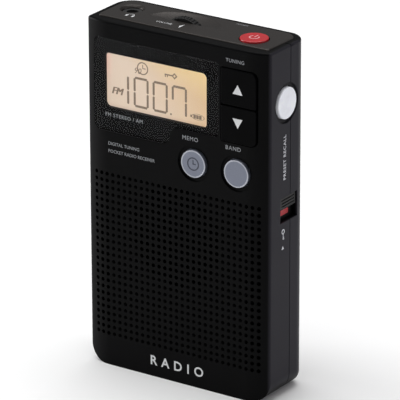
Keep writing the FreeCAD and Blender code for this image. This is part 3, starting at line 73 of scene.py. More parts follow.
# %% [markdown]
# ## Small tools for modelling
#
# An operator works on whatever is selected, so every step starts by deselecting everything. A finished
# piece keeps its object at the origin and its place in its mesh, as the CAD nodes do, so that patterns stay
# put when a piece moves. These helpers do that bookkeeping once.

# %% Selection and placing
def select_only(*objects):
    """Leaves just these objects selected, the last one active."""
    bpy.ops.object.select_all(action="DESELECT")
    for thing in objects:
        thing.select_set(True)
        bpy.context.view_layer.objects.active = thing


def settle(piece, name, material):
    """Puts a piece's place, turn and scale into its mesh, names it and gives it its material."""
    select_only(piece)
    bpy.ops.object.transform_apply(location=True, rotation=True, scale=True)
    piece.name = name
    piece.data.materials.clear()
    piece.data.materials.append(material)
    return piece


def joined(pieces, name, material):
    """Several meshes as one piece."""
    select_only(*pieces)
    bpy.ops.object.join()
    return settle(bpy.context.active_object, name, material)


def apply_modifier(piece, kind, **settings):
    """Adds a modifier with its settings and applies it."""
    select_only(piece)
    modifier = piece.modifiers.new(kind.title(), kind)
    for key, value in settings.items():
        setattr(modifier, key, value)
    bpy.ops.object.modifier_apply(modifier=modifier.name)


def middle_of(node):
    """The middle of a CAD node's box."""
    low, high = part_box(node)
    return (Vector(low) + Vector(high)) / 2


# %% [markdown]
# ## Shader sums written as Python
#
# A material's pattern is arithmetic on numbers that change over the surface. Blender does it with one
# Math node per sum, which is slow to wire by hand and hard to read. The class below wraps an output
# socket, so that an expression such as `worn * 0.5 + fine` adds those nodes by itself. Every other kind
# of node comes from one method, which takes its settings first and then its sockets.

# %% Shader sums
class Value:
    """An output socket that does sums."""

    def __init__(self, paint, socket):
        self.paint = paint
        self.socket = socket

    def sum(self, operation, first, second=0.0):
        return self.paint.node("ShaderNodeMath", {"operation": operation}, {0: first, 1: second})

    def __add__(self, other):
        return self.sum("ADD", self, other)

    __radd__ = __add__

    def __mul__(self, other):
        return self.sum("MULTIPLY", self, other)

    __rmul__ = __mul__


class Paint:
    """A material on the Principled shader."""

    def __init__(self, name, **constants):
        self.material = bpy.data.materials.new(name)
        self.material.use_nodes = True
        self.tree = self.material.node_tree
        self.shader = self.tree.nodes["Principled BSDF"]
        for key, value in constants.items():
            self.shader.inputs[key.replace("_", " ").title().replace("Ior", "IOR")].default_value = value

    def feed(self, socket, value):
        """Sets a socket, or links it when the value is an output."""
        if isinstance(value, Value):
            self.tree.links.new(value.socket, socket)
        else:
            socket.default_value = value

    def node(self, kind, settings=None, sockets=None, output=0):
        made = self.tree.nodes.new(kind)
        for key, value in (settings or {}).items():
            setattr(made, key, value)
        for key, value in (sockets or {}).items():
            self.feed(made.inputs[key], value)
        return Value(self, made.outputs[output])

    def set(self, **sockets):
        """Feeds the shader's sockets, their names written with underscores."""
        for key, value in sockets.items():
            self.feed(self.shader.inputs[key.replace("_", " ").title()], value)
        return self

    def place(self):
        """The spot on the object, in metres."""
        return self.node("ShaderNodeTexCoord", output="Object")

    def along(self, axis):
        """How far the spot is along an axis, in metres."""
        return self.node("ShaderNodeSeparateXYZ", sockets={0: self.place()}, output=axis)

    def noise(self, size, detail=2.0, roughness=0.5, stretch=(1, 1, 1)):
        """Noise between 0 and 1 whose blotches are about a size wide, in metres."""
        spot = self.node("ShaderNodeMapping", sockets={"Vector": self.place(), "Scale": stretch})
        return self.node("ShaderNodeTexNoise", sockets={
            "Vector": spot, "Scale": 1 / size, "Detail": detail, "Roughness": roughness})

    def ramp(self, value, low, high, start=0.0, end=1.0):
        """A value spread over a new range, clamped at its ends."""
        return self.node("ShaderNodeMapRange", sockets={
            "Value": value, "From Min": low, "From Max": high, "To Min": start, "To Max": end})

    def blend(self, factor, first, second):
        """A colour between two colours."""
        mix = self.tree.nodes.new("ShaderNodeMix")
        mix.data_type = "RGBA"
        for index, value in ((0, factor), (6, first), (7, second)):
            self.feed(mix.inputs[index], value)
        return Value(self, mix.outputs[2])

    def bump(self, height, depth, strength=1.0):
        """A normal whose surface rises by a depth, in metres, where the height is 1."""
        return self.node("ShaderNodeBump", sockets={
            "Height": height, "Distance": depth, "Strength": strength})


# %% [markdown]
# ## Moulded plastics
#
# The case is black ABS from a spark-eroded mould: a very fine grain, a soft sheen, and faint smears where
# fingers have polished it. One colour with one roughness looks like a toy, so two noises work together:
# a wide one shifts the sheen by a little, and a fine one gives the grain its bump. The same recipe, with
# other numbers, makes the keys, the knobs and the coloured buttons.

# %% Plastics
def plastic(name, colour, sheen, grain=0.16 * MM, grain_depth=0.004 * MM, smear=0.06, shine=0.35, painted_side_light=None):
    """A moulded plastic: its colour, its roughness, the size and depth of its grain and its specular level.

    Where a side colour is given, the case's side walls get it by position as painted light: a lighter,
    violet-tinted colour that stands in for the light the sides catch.
    """
    paint = Paint(name, specular_ior_level=shine)
    wide = paint.noise(9 * MM, detail=4.0, roughness=0.6)
    fine = paint.noise(grain, detail=2.0)
    worn = paint.ramp(wide, 0.35, 0.7)
    lighter = tuple(c * 1.4 + 0.0003 for c in colour) + (1,)
    tinted = paint.blend(worn * 0.5, (*colour, 1), lighter)
    # Painted light: the case's side walls are coloured lighter by their x position, standing in for the light
    # that falls on them.
    if painted_side_light:
        across = paint.along("X")
        side_light_mask = paint.ramp(across * across, (31.6 * MM) ** 2, (32.4 * MM) ** 2)
        tinted = paint.blend(side_light_mask, tinted, (*painted_side_light, 1))
    paint.set(
        base_color=tinted,
        roughness=paint.ramp(wide, 0.3, 0.75, sheen - smear / 2, sheen + smear / 2) + fine * 0.04,
        normal=paint.bump(fine, grain_depth),
    )
    return paint.material


# The case's side walls get a lighter colour of painted light.
shell_black = plastic("shell_black", (0.0012, 0.0012, 0.0014), 0.34, grain_depth=0.003 * MM, shine=0.05,
                      painted_side_light=(0.023, 0.022, 0.0275))
key_black = plastic("key_black", (0.0008, 0.0008, 0.001), 0.3, grain=0.12 * MM, grain_depth=0.003 * MM,
                    shine=0.03)
knob_black = plastic("knob_black", (0.004, 0.004, 0.004), 0.45, grain=0.2 * MM, grain_depth=0.008 * MM,
                     shine=0.25)
button_red = plastic("button_red", (0.42, 0.012, 0.018), 0.28, smear=0.04, shine=0.5)
button_white = plastic("button_white", (0.86, 0.88, 0.93), 0.38, smear=0.04, shine=0.5)
inner_black = plastic("inner_black", (0.012, 0.012, 0.012), 0.6)
print("plastics:", len(bpy.data.materials))

# %% [markdown]
# ## Painted panel, grey buttons and bare metal
#
# The top panel is plastic with a warm dark metallic lacquer: its sparkle is a fine noise that turns the
# metal flakes on and off. The two round front buttons have a silver lacquer with coarser flakes. Rims,
# screws and contacts are metal, which needs only a little roughness noise.

# %% Lacquers and metals
def lacquer(name, dark, bright, sheen, flake=0.12 * MM, metal=0.55):
    """A metallic lacquer: flakes of the bright colour in the dark one."""
    paint = Paint(name, metallic=metal)
    flakes = paint.noise(flake, detail=1.0)
    wide = paint.noise(7 * MM, detail=3.0)
    lit = paint.ramp(flakes, 0.4, 0.68)
    paint.set(
        base_color=paint.blend(lit, (*dark, 1), (*bright, 1)),
        roughness=paint.ramp(wide, 0.3, 0.7, sheen - 0.04, sheen + 0.04) + lit * -0.05,
        normal=paint.bump(flakes, 0.004 * MM),
    )
    return paint.material


def metal(name, colour, roughness, brushed=(1, 1, 1)):
    """Bare metal with a faint uneven polish, brushed along an axis where one stretch is small."""
    paint = Paint(name, metallic=1.0)
    marks = paint.noise(0.5 * MM, detail=3.0, stretch=brushed)
    paint.set(
        base_color=paint.blend(marks, (*colour, 1), (*[c * 0.85 for c in colour], 1)),
        roughness=paint.ramp(marks, 0.2, 0.8, roughness - 0.05, roughness + 0.08),
        normal=paint.bump(marks, 0.002 * MM),
    )
    return paint.material


panel_brown = lacquer("panel_brown", (0.014, 0.0115, 0.0105), (0.042, 0.036, 0.032), 0.4)
button_grey = lacquer("button_grey", (0.15, 0.163, 0.205), (0.205, 0.222, 0.28), 0.42, flake=0.1 * MM)
rim_metal = metal("rim_metal", (0.4, 0.415, 0.46), 0.3)
nickel = metal("nickel", (0.72, 0.7, 0.65), 0.28)
screw_metal = metal("screw_metal", (0.1, 0.1, 0.105), 0.35)

# %% [markdown]
# ## Clear lens, printed mask and lit display
#
# The lens is clear acrylic over a black printed mask, and a backlit liquid-crystal cell shows through the
# mask's window. The backlight is uneven: peach over most of the cell, more amber towards its right end,
# yellow in its upper right corner, and pinker along its left edge. The emission colour is mixed from the
# spot's place on the cell. The figures are the cell's darkened liquid crystal, so they glow too, only
# less.

# %% Lens, mask and display
clear = Paint("lens_clear", transmission_weight=1.0, roughness=0.03, ior=1.12)
clear.set(base_color=(0.97, 0.98, 1, 1), normal=clear.bump(clear.noise(12 * MM), 0.004 * MM))
lens_clear = clear.material
mask_black = plastic("mask_black", (0.0008, 0.0008, 0.0012), 0.5, grain_depth=0.001 * MM, shine=0.05)

glass_low, glass_high = (Vector(corner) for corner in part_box("display_glass"))
glow = Paint("display_glow", roughness=0.4, emission_strength=1.0)
across = glow.ramp(glow.along("X"), glass_low.x, glass_high.x)
up = glow.ramp(glow.along("Z"), glass_low.z, glass_high.z)
PEACH = (0.59, 0.46, 0.35, 1)
AMBER = (0.56, 0.34, 0.13, 1)
YELLOW = (0.76, 0.56, 0.2, 1)
PINK = (0.68, 0.42, 0.34, 1)
warm = glow.blend(glow.ramp(across + up * 0.3, 0.5, 1.2), PEACH, AMBER)
warm = glow.blend(glow.ramp(across * 0.6 + up, 1.0, 1.6) * 0.8, warm, YELLOW)
cloudy = glow.noise(6 * MM, detail=3.0)
left_edge = glow.ramp(across, 0.1, 0.03)
tinted = glow.blend(left_edge * glow.ramp(up, 0.4, 0.7), warm, PINK)
mottled = glow.blend(cloudy * 0.2, tinted, (0.67, 0.54, 0.42, 1))
glow.set(base_color=(0.2, 0.16, 0.12, 1), emission_color=mottled)
display_glow = glow.material

figure = Paint("display_figure", roughness=0.4, emission_strength=1.0)
figure.set(base_color=(0.05, 0.035, 0.02, 1), emission_color=figure.blend(
    figure.noise(0.8 * MM), (0.15, 0.1, 0.065, 1), (0.2, 0.14, 0.095, 1)))
display_figure = figure.material

# %% [markdown]
# ## Inks
#
# Words and icons are pad-printed. Pad printing leaves a layer of ink a few hundredths of a millimetre
# thick and a little uneven, so the ink's colour carries a faint speckle.

# %% Inks
def ink(name, colour, sheen=0.45):
    paint = Paint(name, roughness=sheen)
    speckle = paint.noise(0.12 * MM, detail=1.0)
    paint.set(base_color=paint.blend(speckle, (*colour, 1), (*[c * 0.8 for c in colour], 1)),
              normal=paint.bump(speckle, 0.002 * MM))
    return paint.material


ink_grey = ink("ink_grey", (0.3, 0.31, 0.33))
ink_white = ink("ink_white", (0.7, 0.71, 0.72))
ink_side = ink("ink_side", (0.72, 0.73, 0.78))
ink_dark = ink("ink_dark", (0.03, 0.035, 0.06))
ink_pink = ink("ink_pink", (0.75, 0.35, 0.36))
ink_red = ink("ink_red", (0.6, 0.03, 0.04))

# %% [markdown]
# ## Smooth copies of the moulded parts
#
# A CAD mesh is loose triangles, and a curved shoulder made of them catches the light in flat strips. A copy
# is merged into one skin, its edges sharper than a set angle stay sharp, and weighted normals keep the flat
# faces flat. The copy stands for the CAD node, which stays hidden for collision. The small knobs have three
# grooves for a fingertip, cut from the copy with bars before it is smoothed. The lens and the mask touch in
# the CAD model, and two faces in one place show as speckle, so the lens is made a hair thinner.

# %% Smooth copies
SHARP = math.radians(32)
body_of = {node: body for body, members in frame["record"]["behaviour"]["bodies"].items() for node in members}


# Round walls of the case: the axis that each runs along, its centre on the other two axes, and its radius.
SHOULDER_WIDE, SHOULDER_DROP = 8 * MM, 1.7 * MM
SHOULDER = (SHOULDER_WIDE**2 + SHOULDER_DROP**2) / (2 * SHOULDER_DROP)
LENS_PROUD = 0.15 * MM
HALF_WIDE, HALF_DEEP = 32.5 * MM, 11 * MM
BACK_CORNER, BASE_CORNER = 6 * MM, 6.5 * MM
ROUND_WALLS = []
for hand in (-1, 1):
    knee = (hand * (HALF_WIDE - SHOULDER_WIDE), SHOULDER - HALF_DEEP)
    ROUND_WALLS += [(2, *knee, SHOULDER), (2, *knee, SHOULDER + LENS_PROUD),
                    (2, hand * (HALF_WIDE - BACK_CORNER), HALF_DEEP - BACK_CORNER, BACK_CORNER),
                    (1, hand * (HALF_WIDE - BASE_CORNER), BASE_CORNER, BASE_CORNER)]
CLOSE = 0.012 * MM


def true_normals(piece):
    """Exact normals where a face lies on a flat across an axis or on one of the case's round walls."""
    mesh = piece.data
    normals = [Vector(corner.vector) for corner in mesh.corner_normals]
    for face in mesh.polygons:
        spots = [mesh.vertices[i].co for i in face.vertices]
        flat = [axis for axis in range(3) if abs(face.normal[axis]) > 0.9
                and max(s[axis] for s in spots) - min(s[axis] for s in spots) < CLOSE / 4]
        for axis in flat:
            exact = Vector((0, 0, 0))
            exact[axis] = math.copysign(1, face.normal[axis])
            for corner in face.loop_indices:
                normals[corner] = exact
        if flat:
            continue
        for axis, first, second, radius in ROUND_WALLS:
            u, v = [i for i in range(3) if i != axis]
            arms = [Vector((s[u] - first, s[v] - second)) for s in spots]
            if max(abs(arm.length - radius) for arm in arms) < CLOSE and abs(face.normal[axis]) < 0.3:
                for corner, arm in zip(face.loop_indices, arms):
                    exact = Vector((0, 0, 0))
                    exact[u], exact[v] = arm.normalized()
                    normals[corner] = exact
                break
    mesh.normals_split_custom_set(normals)


def smooth_copy(node, material, sharp=SHARP, cutter=None):
    """A merged and smoothed copy of a CAD node in its place, less a cutter's shape if one is given."""
    select_only(nodes[node])
    bpy.ops.object.duplicate()
    piece = bpy.context.active_object
    piece.parent = None
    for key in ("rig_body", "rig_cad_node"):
        if key in piece:
            del piece[key]
    bpy.ops.object.mode_set(mode="EDIT")
    bpy.ops.mesh.select_all(action="SELECT")
    bpy.ops.mesh.remove_doubles(threshold=0.002 * MM)
    bpy.ops.object.mode_set(mode="OBJECT")
    if cutter:
        apply_modifier(piece, "BOOLEAN", operation="DIFFERENCE", solver="EXACT", object=cutter)
        bpy.data.objects.remove(cutter)
    select_only(piece)
    bpy.ops.object.shade_smooth_by_angle(angle=sharp)
    apply_modifier(piece, "WEIGHTED_NORMAL", keep_sharp=True, weight=80)
    settle(piece, node + "_skin", material)
    true_normals(piece)
    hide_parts(node)
    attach(piece, body_of[node])
    return piece


SKINS = {
    "front_shell": shell_black, "rear_shell": shell_black, "top_panel": panel_brown,
    "display_lens": lens_clear, "tuning_key_up": key_black, "tuning_key_down": key_black,
    "memory_button": button_grey, "band_button": button_grey, "preset_button": button_white,
    "power_button": button_red, "lock_knob": knob_black, "sound_knob": knob_black, "bass_knob": knob_black,
    "volume_wheel": knob_black, "earphone_socket": inner_black, "battery_door": shell_black,
    "case_screws": screw_metal,
}
GRIP_PITCH, GRIP_WIDE, GRIP_DEEP = 0.95 * MM, 0.42 * MM, 0.3 * MM
GRIPS = {"lock_knob": 3.4 * MM, "sound_knob": 1.1 * MM, "bass_knob": 1.1 * MM}


def grip_cutter(node, half):
    """Three bars across a knob's outer face, to be cut from it as grooves for a fingertip."""
    low, high = (Vector(corner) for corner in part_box(node))
    middle = (low + high) / 2
    outside = high.x if high.x > 0 else low.x
    bars = []
    for i in (-1, 0, 1):
        bpy.ops.object.select_all(action="DESELECT")
        bpy.ops.mesh.primitive_cube_add(size=1, location=(outside, middle.y, middle.z + i * GRIP_PITCH))
        bars.append(bpy.context.active_object)
        bars[-1].scale = (2 * GRIP_DEEP, 2 * half, GRIP_WIDE)
        bpy.ops.object.transform_apply(location=True, scale=True)
        apply_modifier(bars[-1], "BEVEL", width=GRIP_WIDE * 0.3, segments=2)
    return joined(bars, node + "_grip", knob_black)


for node, material in SKINS.items():
    smooth_copy(node, material, cutter=grip_cutter(node, GRIPS[node]) if node in GRIPS else None)
print("smooth copies:", len(SKINS))

# %% A little air behind the lens
lens_skin = bpy.data.objects["display_lens_skin"]
lens_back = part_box("display_lens")[1][1]
for vertex in lens_skin.data.vertices:
    if vertex.co.y > lens_back - CLOSE:
        vertex.co.y = lens_back - 0.03 * MM

# %% [markdown]
# ## Pieces inside the case
#
# The parts behind the walls keep their CAD shapes. They show through the perforations, round the keys and
# when the battery door is down, so each gets the finish of the real thing: green solder mask, tinned cans,
# copper wire, paper cone, and a plain printed sleeve on the cells.

# %% Inner finishes
def sleeve(name):
    """A cell's sleeve: dark blue, with a copper-coloured band at its positive end."""
    paint = Paint(name, roughness=0.3)
    band = paint.ramp(paint.along("X"), 10 * MM, 10.2 * MM)
    paint.set(base_color=paint.blend(band, (0.02, 0.035, 0.09, 1), (0.5, 0.24, 0.1, 1)),
              normal=paint.bump(paint.noise(2 * MM), 0.01 * MM))
    return paint.material


board_green = plastic("board_green", (0.012, 0.09, 0.035), 0.35, grain=0.8 * MM, grain_depth=0.01 * MM)
guide_white = plastic("guide_white", (0.8, 0.8, 0.76), 0.3)
ferrite_grey = plastic("ferrite_grey", (0.03, 0.03, 0.034), 0.55, grain=0.3 * MM, grain_depth=0.02 * MM)
cone_paper = plastic("cone_paper", (0.012, 0.012, 0.012), 0.85, grain=0.4 * MM, grain_depth=0.03 * MM)
copper = metal("copper_wire", (0.75, 0.33, 0.16), 0.35, brushed=(6, 1, 1))
tin = metal("tin_plate", (0.6, 0.6, 0.6), 0.35, brushed=(1, 1, 8))
cell_sleeve = sleeve("cell_sleeve")
INNER = {
    mask_black: ["display_mask"],
    display_glow: ["display_glass"],
    guide_white: ["light_guide"],
    inner_black: ["display_frame", "rod_cradles", "volume_pot", "integrated_circuits", "capacitors"],
    board_green: ["main_board", "side_board", "top_board"],
    tin: ["front_switches", "preset_switch", "power_switch", "lock_switch", "sound_switch", "bass_switch",
          "volume_shaft", "wheel_screw", "board_screws", "tuner_can", "tuning_crystal", "speaker_basket",
          "speaker_magnet"],
    ferrite_grey: ["ferrite_rod"],
    copper: ["antenna_coil"],
    cone_paper: ["speaker_cone"],
    cell_sleeve: ["lower_cell", "upper_cell"],
    nickel: ["contact_plates", "contact_springs"],
}
for material, members in INNER.items():
    for node in members:
        nodes[node].data.materials.clear()
        nodes[node].data.materials.append(material)
undressed = [n for n in nodes if n not in SKINS and not any(n in m for m in INNER.values())]
print("nodes with no finish:", undressed)

# %% [markdown]
# ## Printing on a face
#
# A word or an icon is drawn flat, facing up at the origin, and then turned and moved onto its face. The
# face is given by two directions: the way the words run and the way their tops point. The turn that this
# makes is written into the object, and `settle` puts it into the mesh.

# %% Faces to print on
FACES = {
    "front": (Vector((1, 0, 0)), Vector((0, 0, 1))),
    "back": (Vector((-1, 0, 0)), Vector((0, 0, 1))),
    "top": (Vector((1, 0, 0)), Vector((0, 1, 0))),
    "right": (Vector((0, 1, 0)), Vector((0, 0, 1))),
    "right_upward": (Vector((0, 0, 1)), Vector((0, -1, 0))),
    "left_upward": (Vector((0, 0, 1)), Vector((0, 1, 0))),
}
INK = 0.02 * MM


def lay(piece, face, spot, name, material, body="case"):
    """Turns a flat piece onto a face with its origin at a spot, and lets it ride on a body."""
    run, rise = FACES[face]
    turn = Matrix((run, rise, run.cross(rise))).transposed().to_4x4()
    piece.matrix_world = Matrix.Translation(spot) @ turn @ piece.matrix_world
    settle(piece, name, material)
    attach(piece, body)
    return piece


def word(text, tall, spacing=1.0, align="CENTER", slant=0.0, bold=0.0):
    """A flat word as a mesh, its capitals so tall, its middle line on the origin."""
    bpy.ops.object.select_all(action="DESELECT")
    bpy.ops.object.text_add()
    made = bpy.context.active_object
    made.data.body = text
    made.data.align_x = align
    made.data.align_y = "CENTER"
    made.data.size = tall / 0.73
    made.data.space_character = spacing
    made.data.shear = slant
    made.data.offset = bold
    made.data.extrude = INK
    made.data.resolution_u = 3
    select_only(made)
    bpy.ops.object.convert(target="MESH")
    return bpy.context.active_object


def stroke(across, low, tall, high, bevel=0.0, thick=INK):
    """A flat bar from one corner to the other, with cut corners if asked."""
    bpy.ops.object.select_all(action="DESELECT")
    bpy.ops.mesh.primitive_cube_add(size=1, location=((across + tall) / 2, (low + high) / 2, 0))
    bar = bpy.context.active_object
    bar.scale = (tall - across, high - low, thick * 2)
    bpy.ops.object.transform_apply(location=True, scale=True)
    if bevel:
        bpy.ops.object.mode_set(mode="EDIT")
        bpy.ops.mesh.select_mode(type="EDGE")
        bpy.ops.mesh.select_all(action="DESELECT")
        bpy.ops.object.mode_set(mode="OBJECT")
        for edge in bar.data.edges:
            ends = [bar.data.vertices[i].co for i in edge.vertices]
            edge.select = abs(ends[0].z - ends[1].z) > thick
        bpy.ops.object.mode_set(mode="EDIT")
        bpy.ops.mesh.bevel(offset=bevel, segments=1)
        bpy.ops.object.mode_set(mode="OBJECT")
    return bar


def disc(radius, corners=48, spot=(0, 0), turn=0.0, hole=0.0, thick=INK, stretch=1.0):
    """A flat polygon or, with many corners, a disc, hollow if it has a hole."""
    bpy.ops.object.select_all(action="DESELECT")
    bpy.ops.mesh.primitive_circle_add(vertices=corners, radius=radius, fill_type="NGON")
    made = bpy.context.active_object
    bpy.ops.object.mode_set(mode="EDIT")
    bpy.ops.mesh.select_all(action="SELECT")
    if hole:
        bpy.ops.mesh.inset(thickness=radius - hole, depth=0)
        bpy.ops.mesh.delete(type="FACE")
        bpy.ops.mesh.select_all(action="SELECT")
    bpy.ops.mesh.extrude_region_move(TRANSFORM_OT_translate={"value": (0, 0, 2 * thick)})
    bpy.ops.mesh.select_all(action="SELECT")
    bpy.ops.transform.translate(value=(0, 0, -thick))
    bpy.ops.mesh.normals_make_consistent(inside=False)
    bpy.ops.object.mode_set(mode="OBJECT")
    made.rotation_euler.z = turn
    made.scale.y = stretch
    made.location = (*spot, 0)
    bpy.ops.object.transform_apply(location=True, rotation=True, scale=True)
    return made


def merged(*pieces):
    """Flat pieces as one mesh, before it is laid on a face."""
    select_only(*pieces)
    bpy.ops.object.join()
    return bpy.context.active_object


# %% [markdown]
# ## The display's figures
#
# A figure on such a display is seven bars with pointed ends. Each bar belongs to a letter from a to g, and
# each digit lights some of them. One function makes a bar, one makes a digit from its letters, and the
# frequency is three digits and a leading one. Small fixed marks go round them: the band, a sleep timer, a
# key for the lock and a battery.

# %% Seven-bar digits
WINDOW_EDGE = 1.5 * MM
window_low = glass_low + Vector((WINDOW_EDGE, 0, WINDOW_EDGE))
window_wide = glass_high.x - glass_low.x - 2 * WINDOW_EDGE
DIGIT_WIDE = 5.4 * MM
DIGIT_TALL = 9.6 * MM
BAR = 0.72 * MM
GAP = 0.16 * MM
BARS = {
    "a": (0, 2, 1, 2), "b": (1, 1, 1, 2), "c": (1, 0, 1, 1), "d": (0, 0, 1, 0),
    "e": (0, 0, 0, 1), "f": (0, 1, 0, 2), "g": (0, 1, 1, 1),
}
LIT = {"0": "abcdef", "1": "bc", "7": "abcf"}


def digit(figure, left, base):
    """A digit's lit bars. A bar runs between two of the six corners of the digit's grid."""
    wide, tall = DIGIT_WIDE - BAR, (DIGIT_TALL - BAR) / 2
    made = []
    for letter in LIT[figure]:
        column0, row0, column1, row1 = BARS[letter]
        x0, x1 = left + column0 * wide, left + column1 * wide
        y0, y1 = base + row0 * tall, base + row1 * tall
        if x0 == x1:
            made.append(stroke(x0, y0 + BAR / 2 + GAP, x0 + BAR, y1 + BAR / 2 - GAP, BAR * 0.3))
        else:
            made.append(stroke(x0 + BAR / 2 + GAP, y0, x1 + BAR / 2 - GAP, y0 + BAR, BAR * 0.3))
    return made


base = 1.3 * MM
bars = digit("1", 2.55 * MM, base)
for place, figure_shown in enumerate("007"):
    bars += digit(figure_shown, (9.6 + 6.85 * place) * MM, base)
point = stroke(22.7 * MM, base, 23.25 * MM, base + 0.55 * MM)
digits = merged(*bars, point)
on_glass = Vector((window_low.x, glass_low.y - INK, window_low.z))
lay(digits, "front", on_glass, "display_digits", display_figure)

# %% Marks round the figures
band_words = []
for nudge in (0, 0.15, 0.3):
    band_words.append(word("FM", 2.3 * MM, slant=0.3, align="LEFT"))
    band_words[-1].location = ((1.45 + nudge) * MM, 5.0 * MM, 0)
key_ring = disc(1.0 * MM, corners=4, spot=(24.3 * MM, 13.7 * MM), hole=0.62 * MM)
key_shaft = stroke(20.8 * MM, 13.5 * MM, 23.4 * MM, 13.9 * MM)
key_teeth = [stroke(x * MM, 12.9 * MM, (x + 0.3) * MM, 13.6 * MM) for x in (20.9, 21.6)]
timer_ring = disc(2.0 * MM, spot=(12.9 * MM, 13.9 * MM), hole=1.65 * MM)
timer_hands = [stroke(12.8 * MM, 13.9 * MM, 13.05 * MM, 15.1 * MM),
               stroke(12.9 * MM, 13.8 * MM, 14.0 * MM, 14.05 * MM)]
timer_word = word("90", 1.9 * MM, slant=0.25)
timer_word.location = (11.0 * MM, 12.8 * MM, 0)
cell_body = disc(2.3 * MM, spot=(32.6 * MM, 2.5 * MM), hole=2.1 * MM, stretch=0.42)
cell_nub = stroke(29.9 * MM, 2.15 * MM, 30.4 * MM, 2.85 * MM)
cell_bars = [stroke((31.0 + 1.0 * i) * MM, 1.9 * MM, (31.85 + 1.0 * i) * MM, 3.1 * MM) for i in range(3)]
marks = merged(*band_words, key_ring, key_shaft, *key_teeth, timer_ring, *timer_hands, timer_word,
               cell_body, cell_nub, *cell_bars)
lay(marks, "front", on_glass, "display_marks", display_figure)
print("display window, mm:", round(window_wide / MM, 1))

# %% [markdown]
# ## Words and icons on the case
#
# Each label stands at a set distance from the key that it names, so its place comes from that key's box.
# The words are plain function names, and the word at the foot says only what the thing is.

# %% Labels on the front


def on_front(x, z):
    return Vector((x, -HALF_DEEP - INK / 2, z))


key_up, key_down = middle_of("tuning_key_up"), middle_of("tuning_key_down")
memory, band = middle_of("memory_button"), middle_of("band_button")
LABEL = 1.15 * MM
lay(word("TUNING", LABEL, 1.1), "front", on_front(key_up.x - 1.3 * MM, 106.6 * MM), "label_tuning", ink_grey)
lay(word("MEMO", 1.35 * MM, 1.15), "front", on_front(memory.x - 1.2 * MM, 79.5 * MM), "label_memory",
    ink_grey)
lay(word("BAND", 1.35 * MM, 1.15), "front", on_front(band.x - 1.2 * MM, 79.5 * MM), "label_band", ink_grey)
lay(word("RADIO", 3.1 * MM, 1.75, bold=0.07 * MM), "front", on_front(0, 5.1 * MM), "label_name", ink_white)
for i, (text, z) in enumerate((("DIGITAL TUNING", 72.2), ("POCKET RADIO RECEIVER", 69.8))):
    lay(word(text, 1.05 * MM, align="LEFT"), "front", on_front(-24.4 * MM, z * MM), f"label_line_{i}",
        ink_grey)
lens_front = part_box("display_lens")[0][1]
lay(word("FM STEREO / AM", 1.2 * MM, 1.15, align="LEFT"), "front",
    Vector((-25.2 * MM, lens_front - INK / 2, 81.4 * MM)), "label_bands", ink_grey)

# %% Arrows and icons on the keys
for name, key, turn, drop, body in (("up", key_up, math.pi / 2, -1.2, "tuning_up"),
                                    ("down", key_down, -math.pi / 2, 1.6, "tuning_down")):
    key_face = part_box("tuning_key_" + name)[0][1]
    arrow = disc(2.0 * MM, corners=3, turn=turn - math.pi / 2, stretch=1.0)
    lay(arrow, "front", Vector((key.x - 0.2 * MM, key_face - INK / 2, key.z + drop * MM)), "arrow_" + name,
        ink_white, body)
memory_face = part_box("memory_button")[0][1]
clock = merged(disc(2.1 * MM, hole=1.7 * MM), stroke(-0.17 * MM, -0.17 * MM, 0.17 * MM, 1.3 * MM),
               stroke(-0.17 * MM, -0.17 * MM, 1.0 * MM, 0.17 * MM))
lay(clock, "front", Vector((memory.x, memory_face - INK / 2, memory.z)), "clock_icon", ink_dark, "memory")
power = middle_of("power_button")
power_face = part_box("power_button")[1][2]
ring = disc(1.6 * MM, corners=40, hole=1.2 * MM)
select_only(ring)
bpy.ops.object.mode_set(mode="EDIT")
bpy.ops.mesh.select_mode(type="VERT")
bpy.ops.mesh.select_all(action="DESELECT")
bpy.ops.object.mode_set(mode="OBJECT")
for vertex in ring.data.vertices:
    vertex.select = vertex.co.y > 0 and abs(vertex.co.x) < 0.72 * MM
bpy.ops.object.mode_set(mode="EDIT")
bpy.ops.mesh.delete(type="VERT")
bpy.ops.object.mode_set(mode="OBJECT")
power_icon = merged(ring, stroke(-0.2 * MM, 0.1 * MM, 0.2 * MM, 2.1 * MM))
lay(power_icon, "top", Vector((power.x, power.y, power_face + INK / 2)), "power_icon", ink_pink, "power")

# %% [markdown]
# ## Labels on the top and the sides
#
# The top panel has a headphone by the socket and a wedge that grows with the volume. The right side names
# the preset button and the lock, and the left side the sound and bass switches.

# %% Labels on the top and the sides
top_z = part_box("top_panel")[1][2]
wheel, socket = middle_of("volume_wheel"), middle_of("earphone_socket")


def on_top(x, y):
    return Vector((x, y, top_z + INK / 2))


lay(word("VOLUME", 1.0 * MM, 1.1), "top", on_top(wheel.x - 4.4 * MM, wheel.y - 4.9 * MM), "label_volume",
    ink_white)
wedge = disc(1.9 * MM, corners=3, turn=math.pi / 2, stretch=0.28)
lay(wedge, "top", on_top(wheel.x + 1.6 * MM, wheel.y - 4.9 * MM), "volume_wedge", ink_white)
band_arc = disc(1.2 * MM, corners=32, hole=1.0 * MM)
select_only(band_arc)
bpy.ops.object.mode_set(mode="EDIT")
bpy.ops.mesh.select_all(action="SELECT")
bpy.ops.mesh.bisect(plane_co=(0, 0, 0), plane_no=(0, -1, 0), clear_outer=True, use_fill=True)
bpy.ops.object.mode_set(mode="OBJECT")
pads = [stroke((x - 0.35) * MM, -1.1 * MM, (x + 0.35) * MM, 0.15 * MM, 0.15 * MM) for x in (-1.1, 1.1)]
lay(merged(band_arc, *pads), "top", on_top(socket.x + 3.2 * MM, socket.y - 5.6 * MM), "earphone_icon",
    ink_white)
lay(word("POWER", 0.8 * MM, 1.1), "top", on_top(power.x - 9.8 * MM, power.y + 8.6 * MM), "label_power",
    ink_grey)

side_x = HALF_WIDE
preset, lock = middle_of("preset_button"), middle_of("lock_switch")


def on_right(y, z):
    return Vector((side_x + INK / 2, y, z))


